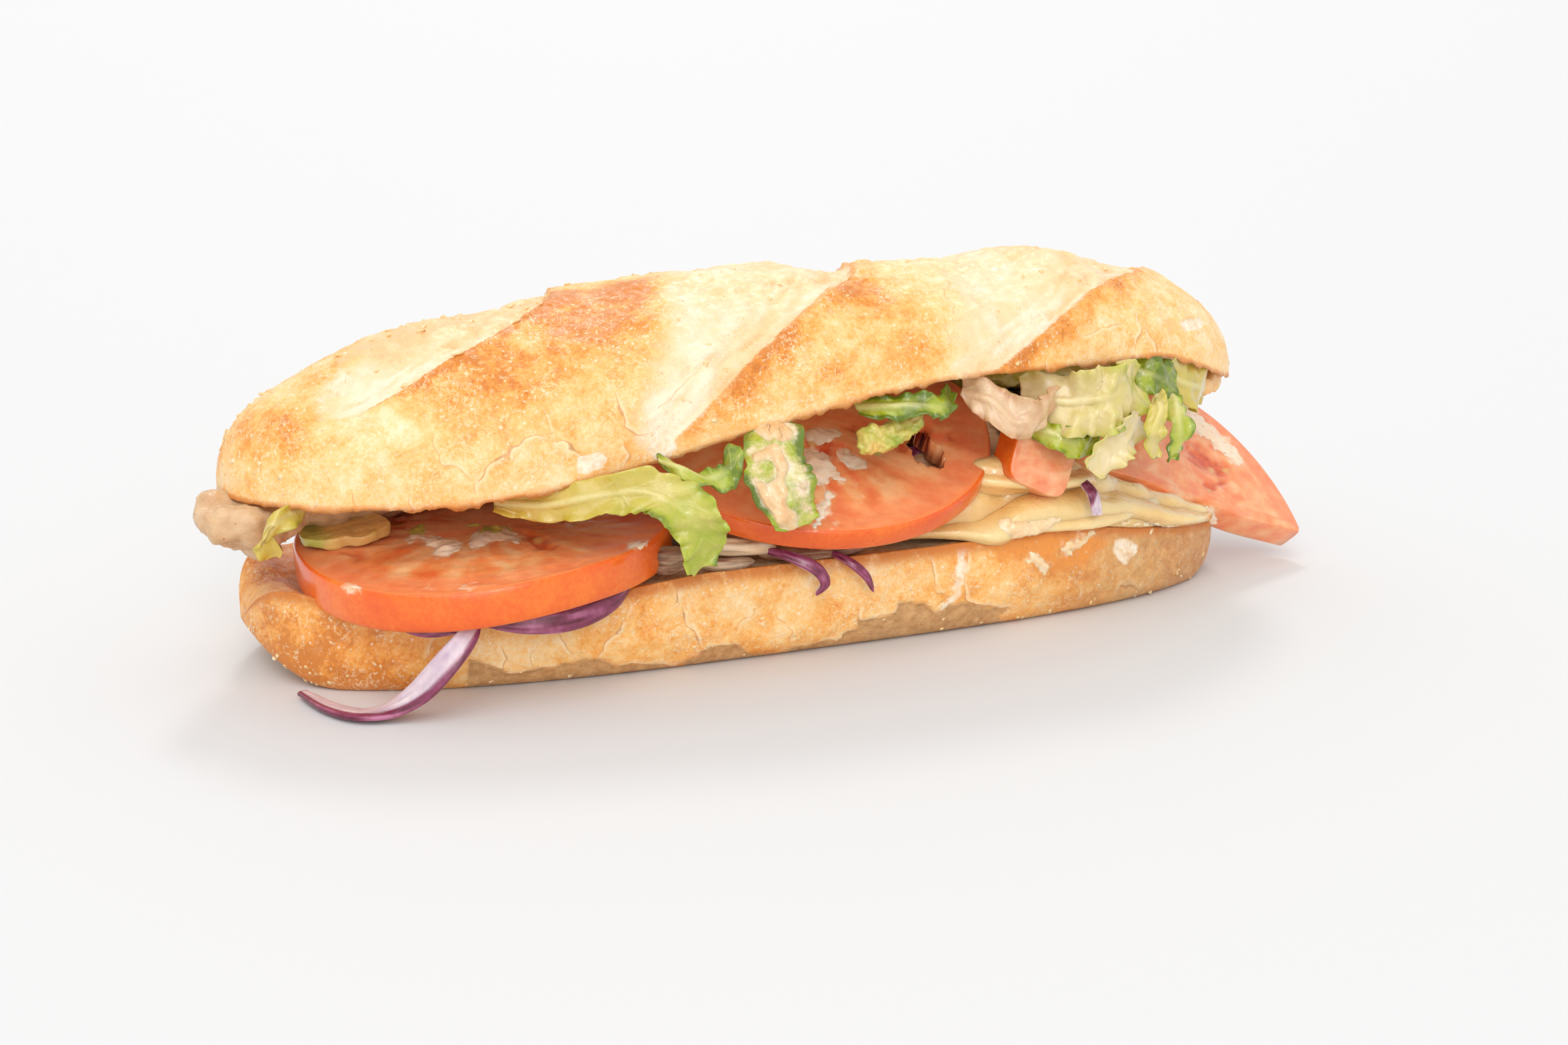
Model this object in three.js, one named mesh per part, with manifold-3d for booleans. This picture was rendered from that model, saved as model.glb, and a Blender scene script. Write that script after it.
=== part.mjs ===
// A filled sub roll: two bread halves held apart by chicken, melted cheese, tomato,
// lettuce, onion and avocado. Millimetres, +Z up, X along the roll, front edge at -Y.
// The origin lies on the flat underside of the lower half.
import * as THREE from "three";
import { mergeVertices } from "three/addons/utils/BufferGeometryUtils.js";
import Module from "manifold-3d";

const wasm = await Module();
wasm.setup();

// Driving dimensions
const GAP = 0.4; // space kept between neighbouring pieces

const ROLL = {
  halfWidth: 35, // both halves, at mid length
  endPower: 3.2, // how square the ends are in plan
  sidePower: 2.2,
};

const LOWER = {
  left: -103,
  right: 103.5,
  stations: 35,
  baseShare: 0.85, // flat underside, as a share of the half width
  widestShare: 0.5, // height of the widest line, as a share of the height
  lipShare: 0.97, // half width at the cut, as a share of the widest
  cutHeight: 18.6,
  leftRise: 5.5, // the cut climbs by this much at the left end
  rightDrop: 6.5,
  leftDip: 1.5, // and lies this much lower under the left slice
  hollow: 2.4, // how far the soft middle is pressed in
  tipHeight: 9.5,
  underLift: 9, // the underside curves up by this much at the very ends
  underFrom: 0.86, // from this share of the half length on
  underPower: 2.3,
};

const UPPER = {
  left: -105.8,
  right: 105.8,
  stations: 48,
  domeSteps: 19,
  faceSteps: 7,
  frontLow: 34.2, // front cut edge at the left
  frontRise: 16.8, // and how much higher it is at the right
  endDrop: 9, // it comes down again at the right end
  backLow: 29,
  backRise: 8,
  riseFrom: -80,
  riseTo: 34,
  crown: [
    // dome height over the cut face, at places along the roll
    [-106, 36],
    [-88, 33.3],
    [-70, 34.8],
    [-50, 32],
    [-34, 30.8],
    [-18, 30.2],
    [0, 28.6],
    [15, 24.2],
    [38, 23.7],
    [56, 26.6],
    [76, 22.9],
    [90, 25],
    [106, 27],
  ],
  endPowerLeft: 3, // how blunt the dome ends are, seen from the front
  endPowerRight: 6,
  domePower: 0.82,
  swell: 0.035, // the sides bulge out by this share
  hollow: 4.5,
  tipHeightLeft: 34,
  tipHeightRight: 40.5,
};

// Diagonal slashes that opened over the upper crust. Each is a lens whose two sides are given at
// the crown. One side sweeps to the left towards the front edge, and the other is nearly straight.
const SLASH = {
  bands: [
    { left: -80, right: -43, sweep: 110 },
    { left: -19, right: 19.5, sweep: 54 },
    { left: 42, right: 86.5, sweep: 54 },
  ],
  slant: 42, // how far the straighter side moves along the roll over half the girth
  depth: 0.8,
  ridge: 0.7,
};

const TOMATO = { radius: 34.2, thickness: 6.9, rimBulge: 0.6 };
const LEAF = { thickness: 0.9 };
const ONION = { wall: 1.5, blunt: 0.3 };

const COLOURS = {
  crust: [0xdda35c, 0.62],
  tomato: [0xd9532f, 0.28],
  chicken: [0xd8b48c, 0.5],
  cheese: [0xf0dfa6, 0.3],
  lettuce: [0xa9c65a, 0.4],
  lettucePale: [0xdfe3b4, 0.4],
  onion: [0x9a5a8c, 0.35],
  avocado: [0xb4bb62, 0.5],
};

// Small maths
const clamp = (v, lo, hi) => Math.min(hi, Math.max(lo, v));
const mix = (a, b, t) => a + (b - a) * t;
const ease = (a, b, v) => {
  const t = clamp((v - a) / (b - a), 0, 1);
  return t * t * (3 - 2 * t);
};
const V = (x, y, z) => new THREE.Vector3(x, y, z);
const range = (n) => Array.from({ length: n }, (_, i) => i);

// The value at x of a list of [place, value], with soft steps between them.
function readTable(table, x) {
  const next = clamp(table.findIndex(([place]) => place > x), 1, table.length - 1);
  const [[from, low], [to, high]] = [table[next - 1], table[next]];
  return mix(low, high, ease(from, to, x));
}

// A smooth uneven value in about -1..1 at a point, for lumps of one size.
function lumps(x, y, z, size, seed) {
  const a = x / size;
  const b = y / size;
  const c = z / size;
  return (
    (Math.sin(a * 1.7 + seed) * Math.cos(b * 1.3 - seed * 0.7) +
      Math.sin(b * 2.1 + c * 1.1 + seed * 1.9) +
      Math.sin(a * 0.9 - c * 1.9 + b * 0.6 + seed * 2.3)) /
    2.6
  );
}

// Closed shapes
function closedGeometry(points, faces) {
  const g = new THREE.BufferGeometry().setFromPoints(points);
  g.setIndex(faces.flat());
  const solid = mergeVertices(g, 1e-4);
  if (signedVolume(solid) < 0) turnInsideOut(solid);
  return solid;
}

function signedVolume(g) {
  const p = g.attributes.position;
  const corner = (k) => new THREE.Vector3().fromBufferAttribute(p, g.index.getX(k));
  let volume = 0;
  for (let k = 0; k < g.index.count; k += 3) {
    volume += corner(k).dot(corner(k + 1).cross(corner(k + 2))) / 6;
  }
  return volume;
}

function turnInsideOut(g) {
  const order = g.index.array;
  for (let k = 0; k < order.length; k += 3) {
    [order[k + 1], order[k + 2]] = [order[k + 2], order[k + 1]];
  }
}

// Rings of equally many points, closed by a tip at each end.
function loft(firstTip, rings, lastTip) {
  const n = rings[0].length;
  const points = [firstTip, ...rings.flat(), lastTip];
  const last = points.length - 1;
  const at = (ring, k) => 1 + ring * n + (k % n);
  const faces = [];
  for (const k of range(n)) {
    faces.push([0, at(0, k + 1), at(0, k)]);
    for (const r of range(rings.length - 1)) {
      faces.push([at(r, k), at(r, k + 1), at(r + 1, k + 1)]);
      faces.push([at(r, k), at(r + 1, k + 1), at(r + 1, k)]);
    }
    faces.push([last, at(rings.length - 1, k), at(rings.length - 1, k + 1)]);
  }
  return closedGeometry(points, faces);
}

// A thin solid on both sides of surface(u, v), with the two faces split alike.
function sheet(surface, columns, rows, thickness) {
  const step = 1e-3;
  const points = [];
  for (const side of [0.5, -0.5]) {
    for (const i of range(columns + 1)) {
      for (const j of range(rows + 1)) {
        const u = i / columns;
        const v = j / rows;
        const across = surface(u, v + step).sub(surface(u, v - step));
        const along = surface(u + step, v).sub(surface(u - step, v));
        const normal = along.cross(across).normalize();
        points.push(surface(u, v).addScaledVector(normal, side * thickness(u, v)));
      }
    }
  }
  const half = (columns + 1) * (rows + 1);
  const at = (i, j) => i * (rows + 1) + j;
  const faces = [];
  for (const i of range(columns)) {
    for (const j of range(rows)) {
      const [a, b, c, d] = [at(i, j), at(i + 1, j), at(i + 1, j + 1), at(i, j + 1)];
      faces.push([a, b, c], [a, c, d]);
      faces.push([a + half, c + half, b + half], [a + half, d + half, c + half]);
    }
  }
  const rim = [
    ...range(columns).map((i) => at(i, 0)),
    ...range(rows).map((j) => at(columns, j)),
    ...range(columns).map((i) => at(columns - i, rows)),
    ...range(rows).map((j) => at(0, rows - j)),
  ];
  rim.forEach((a, k) => {
    const b = rim[(k + 1) % rim.length];
    faces.push([b, a, a + half], [b, a + half, b + half]);
  });
  return closedGeometry(points, faces);
}

// A flat piece with a rounded rim. outline(angle) is its reach from the middle,
// place(x, y, h) puts a point of the flat shape into space.
function wafer({ outline, thickness, rimBulge, segments, shares, place, relief }) {
  const angles = range(segments).map((k) => (k / segments) * 2 * Math.PI);
  const half = thickness / 2;
  const ring = (share, grow, h) =>
    angles.map((a) => {
      const r = outline(a) * share + grow;
      return place(r * Math.cos(a), r * Math.sin(a), h(r * Math.cos(a), r * Math.sin(a)));
    });
  const top = (x, y) => half - relief(x, y);
  const bottom = (x, y) => -half + relief(x, y);
  const rings = [
    ...shares.map((s) => ring(s, 0, top)),
    ring(1, -rimBulge * 0.4, () => half),
    ring(1, rimBulge, () => half * 0.62),
    ring(1, rimBulge, () => -half * 0.62),
    ring(1, -rimBulge * 0.4, () => -half),
    ...[...shares].reverse().map((s) => ring(s, 0, bottom)),
  ];
  return loft(place(0, 0, top(0, 0)), rings, place(0, 0, bottom(0, 0)));
}

// A soft irregular slab along a path, with a flattened oval section.
// Its edges may sag below the middle.
function slab({ path, halfWidth, halfHeight, side, segments, around, square, rough, seed, sag = 0 }) {
  const curve = new THREE.CatmullRomCurve3(path);
  const rings = range(segments - 1).map((i) => {
    const u = (1 - Math.cos(((i + 1) / segments) * Math.PI)) / 2;
    const centre = curve.getPoint(u);
    const up = side.clone().cross(curve.getTangent(u)).normalize();
    if (up.z < 0) up.negate();
    const taper = Math.pow(1 - Math.pow(Math.abs(2 * u - 1), 4), 0.42);
    return range(around).map((k) => {
      const a = (k / around) * 2 * Math.PI;
      const c = Math.cos(a);
      const s = Math.sin(a);
      const wide = Math.sign(c) * Math.pow(Math.abs(c), square) * halfWidth(u) * taper;
      const high = Math.sign(s) * Math.pow(Math.abs(s), square) * halfHeight(u) * taper;
      const p = centre.clone().addScaledVector(side, wide).addScaledVector(up, high);
      const lift = rough * lumps(p.x, p.y, p.z, 5, seed);
      return p.addScaledVector(side, c * lift).addScaledVector(up, s * lift - sag * c * c);
    });
  });
  return loft(curve.getPoint(0), rings, curve.getPoint(1));
}

// A direction that turns from the first to the last of a list.
const turning = (sides) => new THREE.CatmullRomCurve3(sides.length > 1 ? sides : [sides[0], sides[0]]);

// A leaf strip along a path. sides are the directions across it, from start to end.
function leafStrip(shape) {
  const { path, sides, width, start = 1, ruffle = 1, waves = 2, cup = 0, columns = 10, rows = 3 } = shape;
  const curve = new THREE.CatmullRomCurve3(path);
  const across = turning(sides);
  const surface = (u, v) => {
    const t = clamp(u, 0, 1);
    const side = across.getPoint(t).normalize();
    const out = curve.getTangent(t).cross(side).normalize();
    const taper = 0.62 + 0.38 * Math.sin(Math.PI * (0.12 + 0.8 * t));
    const reach = width * mix(start, 1, ease(0, 0.6, t)) * taper;
    const s = v - 0.5;
    const edge = Math.sin(u * waves * 2 * Math.PI + (s > 0 ? 0.8 : 2.4));
    const wave = ruffle * edge * Math.abs(2 * s) ** 1.5 + cup * (4 * s * s - 0.4);
    return curve
      .getPoint(t)
      .addScaledVector(curve.getTangent(t), (u - t) * curve.getLength())
      .addScaledVector(side, s * reach)
      .addScaledVector(out, wave);
  };
  return sheet(surface, columns, rows, () => LEAF.thickness);
}

// A curved strip of onion, with its skin side bulging outwards.
function onionStrip({ path, sides, height, wall = ONION.wall, segments, blunt = ONION.blunt }) {
  const curve = new THREE.CatmullRomCurve3(path);
  const across = turning(sides);
  const section = [
    [-0.5, 0],
    [-0.26, 0.5],
    [0.26, 0.5],
    [0.5, 0],
    [0.26, -0.4],
    [-0.26, -0.4],
  ];
  const rings = range(segments - 1).map((i) => {
    const u = (i + 1) / segments;
    const side = across.getPoint(u).normalize();
    const out = curve.getTangent(u).cross(side).normalize();
    const taper = mix(blunt, 1, Math.sin(Math.PI * clamp(u, 0.02, 0.98)) ** 0.6);
    return section.map(([s, d]) =>
      curve
        .getPoint(u)
        .addScaledVector(side, s * height * taper)
        .addScaledVector(out, d * wall * mix(0.6, 1, taper)),
    );
  });
  return loft(curve.getPoint(0), rings, curve.getPoint(1));
}

// Plan shape of the roll: half width share at a place t = -1..1 along it.
const planShare = (t) => Math.pow(1 - Math.abs(t) ** ROLL.endPower, 1 / ROLL.sidePower);

// How far the crust stands proud or sunk, in soft lumps.
const crustLumps = (p) => 0.55 * lumps(p.x, p.y, p.z, 11, 1.3) + 0.3 * lumps(p.x, p.y, p.z, 4.5, 4.1);

// The lower half: flat underside, bulging crust side, and a cut face pressed in at the middle.
function lowerHalf() {
  const middle = (LOWER.left + LOWER.right) / 2;
  const reach = (LOWER.right - LOWER.left) / 2;
  const cut = (t) =>
    LOWER.cutHeight +
    LOWER.leftRise * ease(-0.86, -1, t) -
    LOWER.leftDip * ease(-0.22, -0.42, t) -
    LOWER.rightDrop * ease(0.45, 1, t);
  const under = (t) => {
    const share = clamp((Math.abs(t) - LOWER.underFrom) / (1 - LOWER.underFrom), 0, 1);
    return LOWER.underLift * share ** LOWER.underPower;
  };
  const profile = lowerProfile();
  const rings = range(LOWER.stations - 1).map((i) => {
    const t = Math.sin(((i + 1) / LOWER.stations - 0.5) * Math.PI);
    const width = ROLL.halfWidth * planShare(t);
    const end = Math.sqrt(1 - Math.abs(t) ** 16);
    const floor = under(t);
    const roof = mix(LOWER.tipHeight, cut(t), end);
    const flat = floor === 0;
    return profile.map(({ y, z, crust, face }) => {
      const p = V(middle + reach * t, width * y, mix(Math.min(floor, roof), roof, z));
      if (face) p.z -= LOWER.hollow * (1 - y * y) * end + 0.35 * lumps(p.x, p.y, 0, 6, 2.2) * end;
      if (crust) p.y += Math.sign(y) * crustLumps(p) * planShare(t);
      if (flat && z === 0) p.z = 0;
      return p;
    });
  });
  return loft(V(LOWER.left, 0, LOWER.tipHeight), rings, V(LOWER.right, 0, LOWER.tipHeight));
}

// Section of the lower half in shares of half width and height, from the front round the base.
function lowerProfile() {
  const { baseShare: b, widestShare: m, lipShare: e } = LOWER;
  const side = [];
  for (const i of range(4)) {
    const a = (i / 3) * (Math.PI / 2);
    side.push({ y: b + (1 - b) * Math.sin(a), z: m * (1 - Math.cos(a)), crust: i > 0 });
  }
  for (const i of range(3)) {
    const a = ((i + 1) / 3) * (Math.PI / 2);
    side.push({ y: e + (1 - e) * Math.cos(a), z: m + (1 - m) * Math.sin(a), crust: i < 2 });
  }
  const steps = (n) => range(n - 1).map((i) => (i + 1) / n);
  const base = steps(3).map((s) => ({ y: mix(-b, b, s), z: 0 }));
  const face = steps(6).map((s) => ({ y: mix(e, -e, s), z: 1, face: true }));
  const mirrored = [...side].reverse().map((q) => ({ ...q, y: -q.y }));
  return [...base, ...side, ...face, ...mirrored];
}

// The upper half: a crust dome over a cut face that is open towards the front.
function upperFrame(t) {
  const middle = (UPPER.left + UPPER.right) / 2;
  const reach = (UPPER.right - UPPER.left) / 2;
  const x = middle + reach * t;
  const rise = ease(UPPER.riseFrom, UPPER.riseTo, x);
  const end = Math.sqrt(1 - Math.abs(t) ** 10);
  const tip = t < 0 ? UPPER.tipHeightLeft : UPPER.tipHeightRight;
  const width = ROLL.halfWidth * planShare(t);
  const frontHeight = UPPER.frontLow + UPPER.frontRise * rise - UPPER.endDrop * ease(70, 108, x);
  const front = V(x, -width, mix(tip, frontHeight, end));
  const back = V(x, width, mix(tip, UPPER.backLow + UPPER.backRise * rise, end));
  const endPower = t < 0 ? UPPER.endPowerLeft : UPPER.endPowerRight;
  const dome = Math.pow(1 - Math.abs(t) ** endPower, 1 / ROLL.sidePower);
  return { x, front, back, end, height: readTable(UPPER.crown, x) * dome };
}

// Relief of the slashes at a point of the dome, a = 0 at the front edge to PI at the back edge.
function slashRelief(x, a) {
  const turn = a / Math.PI - 0.5;
  const front = turn < 0;
  let relief = 0;
  for (const { left, right, sweep } of SLASH.bands) {
    const bend = sweep * (1 - Math.sin(a));
    const soft = left + (front ? turn * SLASH.slant : bend);
    const crisp = right + (front ? -bend : turn * SLASH.slant);
    const open = ease(0, 8, crisp - soft);
    const floor = ease(soft - 5, soft + 5, x) * ease(crisp + 1.5, crisp - 1.5, x);
    const lip = ease(crisp - 1.5, crisp + 1.5, x) * ease(crisp + 14, crisp + 2, x);
    relief += open * (SLASH.ridge * lip - SLASH.depth * floor);
  }
  return relief;
}

function upperHalf() {
  const { stations, domeSteps, faceSteps } = UPPER;
  const rings = range(stations - 1).map((i) => {
    const t = Math.sin(((i + 1) / stations - 0.5) * Math.PI * 0.999);
    const f = upperFrame(t);
    const out = f.back.clone().sub(f.front).normalize();
    const up = V(1, 0, 0).cross(out).normalize();
    const middle = f.front.clone().add(f.back).multiplyScalar(0.5);
    const half = f.front.distanceTo(f.back) / 2;
    const place = (s, h) => middle.clone().addScaledVector(out, s).addScaledVector(up, h);
    const dome = range(domeSteps + 1).map((k) => {
      const a = (k / domeSteps) * Math.PI;
      const swell = 1 + UPPER.swell * Math.sin(2 * a) * Math.sign(Math.PI / 2 - a);
      const p = place(-half * Math.cos(a) * swell, f.height * Math.sin(a) ** UPPER.domePower);
      const lift = (crustLumps(p) + slashRelief(f.x, a)) * planShare(t) * ease(0, 0.3, Math.sin(a));
      return p.addScaledVector(out, -Math.cos(a) * lift).addScaledVector(up, Math.sin(a) * lift);
    });
    const face = range(faceSteps - 1).map((k) => {
      const s = mix(half, -half, (k + 1) / faceSteps);
      const hollow = UPPER.hollow * f.end * (1 - (s / half) ** 4) * Math.min(1, f.height / 14);
      return place(s, hollow + 0.3 * lumps(f.x, s, 0, 6, 0.4) * planShare(t));
    });
    return [...dome, ...face];
  });
  const tips = [
    V(UPPER.left, 0, UPPER.tipHeightLeft),
    V(UPPER.right, 0, UPPER.tipHeightRight),
  ];
  return loft(tips[0], rings, tips[1]);
}

// Seed pockets of a tomato slice: how deep its face sinks at a place.
function seedPockets(radius, pockets, depth, turn) {
  return (x, y) => {
    const r = Math.hypot(x, y) / radius;
    const a = Math.atan2(y, x) + turn;
    const ring = ease(0.2, 0.42, r) * ease(0.84, 0.66, r);
    const wall = 0.5 + 0.5 * Math.cos(a * pockets);
    return depth * ring * ease(0.35, 0.8, wall);
  };
}

// Directions of a tilted disc: tilted up towards the back by a, and towards +X by b.
function tiltedPlace(centre, a, b, bend = () => 0) {
  const up = V(-Math.sin(b), -Math.sin(a) * Math.cos(b), Math.cos(a) * Math.cos(b));
  const across = V(0, 1, 0).cross(up).normalize();
  const along = up.clone().cross(across);
  return (x, y, h) =>
    centre
      .clone()
      .addScaledVector(across, x)
      .addScaledVector(along, y)
      .addScaledVector(up, h + bend(x, y));
}

// The wide slice that hangs over the front edge at the left, resting on the cut face.
// It sags a little towards its front left.
function frontSlice() {
  const r = TOMATO.radius;
  const sag = (x, y) => -0.004 * Math.max(0, -0.7 * (x + y) - 12) ** 2;
  return wafer({
    outline: (a) => r * (1 + 0.012 * Math.cos(3 * a + 0.4)),
    thickness: TOMATO.thickness,
    rimBulge: TOMATO.rimBulge,
    segments: 34,
    shares: [0.35, 0.72],
    place: tiltedPlace(V(-60, -10, 21.8), 0.012, 0.04, sag),
    relief: seedPockets(r, 6, 0.7, 0.5),
  });
}

// The slice over the heap: its front half droops, its back half lies under the upper bread.
const DROOP = {
  centre: V(4.6, -8, 39.2),
  radius: 37.2,
  thickness: 4.4,
  tilt: 0.42,
  from: 2, // it starts to bend this far in front of its middle
  strength: 0.0155,
  hole: V(20, -16, 0), // where a seed pocket has fallen out
  holeReach: [3.2, 6.7], // across and along the slice
};

function droopingBend(x, y) {
  const past = Math.max(0, y + DROOP.from);
  return -DROOP.strength * past * past - 0.0006 * x * x;
}

function droopingSlice() {
  const place = tiltedPlace(DROOP.centre, DROOP.tilt, 0.03, droopingBend);
  const slice = wafer({
    outline: (a) => DROOP.radius * (1 + 0.015 * Math.cos(2 * a + 1)),
    thickness: DROOP.thickness,
    rimBulge: TOMATO.rimBulge,
    segments: 33,
    shares: [0.28, 0.52, 0.76],
    place,
    relief: seedPockets(DROOP.radius, 6, 0.6, 0.1),
  });
  const [wide, long] = DROOP.holeReach;
  const ragged = (a) => 1 + 0.1 * Math.cos(3 * a + 1) + 0.08 * Math.cos(5 * a);
  const hole = wafer({
    outline: (a) => (ragged(a) * wide * long) / Math.hypot(long * Math.cos(a), wide * Math.sin(a)),
    thickness: 4 * DROOP.thickness,
    rimBulge: 0,
    segments: 11,
    shares: [],
    place: (x, y, h) => place(x + DROOP.hole.x, y + DROOP.hole.y, h),
    relief: () => 0,
  });
  return cutAway(slice, [hole]);
}

const LEANING = {
  foot: V(90, -21, 16.3), // a point at the middle of the round, on the front face
  radius: 33,
  thickness: 6,
  lean: 0.86, // back from upright
  along: V(0.93, 0.1, -0.345).normalize(),
  edge: 2.5, // the straight edge runs this far above the middle of the round
  drop: 11, // and the reach is measured from this far above the edge
};

// The half slice leaning back on the filling at the right end, its round side up and outwards.
function leaningSlice() {
  const { radius, lean, along, thickness, edge, drop } = LEANING;
  const rise = V(0.1, Math.sin(lean), Math.cos(lean));
  rise.addScaledVector(along, -rise.dot(along)).normalize();
  const up = along.clone().cross(rise).normalize();
  if (up.y > 0) up.negate();
  const centre = LEANING.foot.clone().addScaledVector(up, -thickness / 2);
  const outline = (a) => {
    const s = Math.sin(a);
    const lift = drop + edge;
    const round = -lift * s + Math.sqrt(radius * radius - lift * lift * (1 - s * s));
    const straight = s < 0 ? -(drop - 0.8 * Math.cos(5 * a)) / s : Infinity;
    return Math.min(round, straight);
  };
  return wafer({
    outline,
    thickness,
    rimBulge: 0.5,
    segments: 28,
    shares: [0.55],
    place: (x, y, h) =>
      centre
        .clone()
        .addScaledVector(along, x)
        .addScaledVector(rise, y + drop + edge)
        .addScaledVector(up, h),
    relief: (x, y) => 0.6 * ease(8, 3, Math.hypot(x - 6, y - 6)),
  });
}

// A small wedge of tomato in the gap beside the drooping slice.
function tomatoWedge() {
  return wafer({
    outline: (a) => 6.4 / (Math.abs(Math.cos(a)) ** 3 + Math.abs(Math.sin(a)) ** 3) ** (1 / 3),
    thickness: 7,
    rimBulge: 0.4,
    segments: 16,
    shares: [],
    place: (x, y, h) =>
      V(44.8, -31, 33.4)
        .addScaledVector(V(0.9, -0.1, -0.42).normalize(), x * 1.02)
        .addScaledVector(V(0.38, 0.2, 0.9).normalize(), y)
        .addScaledVector(V(0.05, -1, 0.2).normalize(), h),
    relief: () => 0,
  });
}

// Grilled chicken in three thick pieces along the roll.
function chickenPieces() {
  const across = V(0, 1, 0);
  const piece = (path, halfWidth, halfHeight, seed) =>
    slab({
      path,
      halfWidth,
      halfHeight,
      side: across,
      segments: 13,
      around: 12,
      square: 0.72,
      rough: 0.9,
      seed,
    });
  return {
    chicken_left: piece(
      [V(-111.5, -8, 32.2), V(-103, -5, 29.9), V(-92, 5, 29.2), V(-72, 13, 29.2), V(-39, 15, 30.6)],
      (u) => mix(8, 14, ease(0, 0.5, u)),
      (u) => mix(4.6, 3.7, ease(0.2, 0.6, u)),
      0.7,
    ),
    chicken_middle: piece(
      [V(-26.4, 1, 25), V(-16, 1, 26), V(0, 2, 26.4), V(14, 2, 26.4), V(26, 3, 26)],
      () => 30,
      (u) => mix(6, 7.4, ease(0, 0.4, u)),
      2.9,
    ),
    chicken_right: piece(
      [V(28, 6, 31), V(42, 6, 31.2), V(60, 9, 31), V(78, 13, 30), V(95, 15, 28.6)],
      (u) => mix(24, 13, ease(0.3, 0.8, u)),
      () => 6.8,
      5.1,
    ),
  };
}

// Melted cheese: a wide layer on the cut face and a folded lump over it.
function cheesePieces() {
  const across = V(0, 1, 0);
  return {
    cheese_lower: slab({
      path: [V(27.4, -1, 21.8), V(42, -1, 22), V(60, -1, 21.2), V(80, 0, 18.4), V(95, 1, 15.6)],
      halfWidth: (u) => mix(35, 21, ease(0.4, 0.95, u)),
      halfHeight: (u) => mix(3.2, 2.8, u),
      side: across,
      segments: 14,
      around: 12,
      square: 0.62,
      rough: 0.6,
      seed: 1.1,
      sag: 1.5,
    }),
    cheese_upper: slab({
      path: [V(27, -22, 29), V(36, -27, 29.6), V(47, -28, 28.6), V(61, -27, 26.2)],
      halfWidth: () => 6.6,
      halfHeight: (u) => mix(4, 2.4, u),
      side: across,
      segments: 10,
      around: 10,
      square: 0.8,
      rough: 0.8,
      seed: 3.3,
    }),
  };
}

// The bed of shredded lettuce between the chicken and the upper bread at the right.
function lettuceBed() {
  return slab({
    path: [V(45, 9, 41), V(56, 9, 41.4), V(70, 9.5, 41.2), V(81, 11, 39.8), V(91, 13, 37.4)],
    halfWidth: (u) => mix(18, 11, ease(0.4, 1, u)),
    halfHeight: () => 2.8,
    side: V(0, 1, -0.18).normalize(),
    segments: 11,
    around: 10,
    square: 0.8,
    rough: 1.1,
    seed: 7.7,
  });
}

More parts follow.
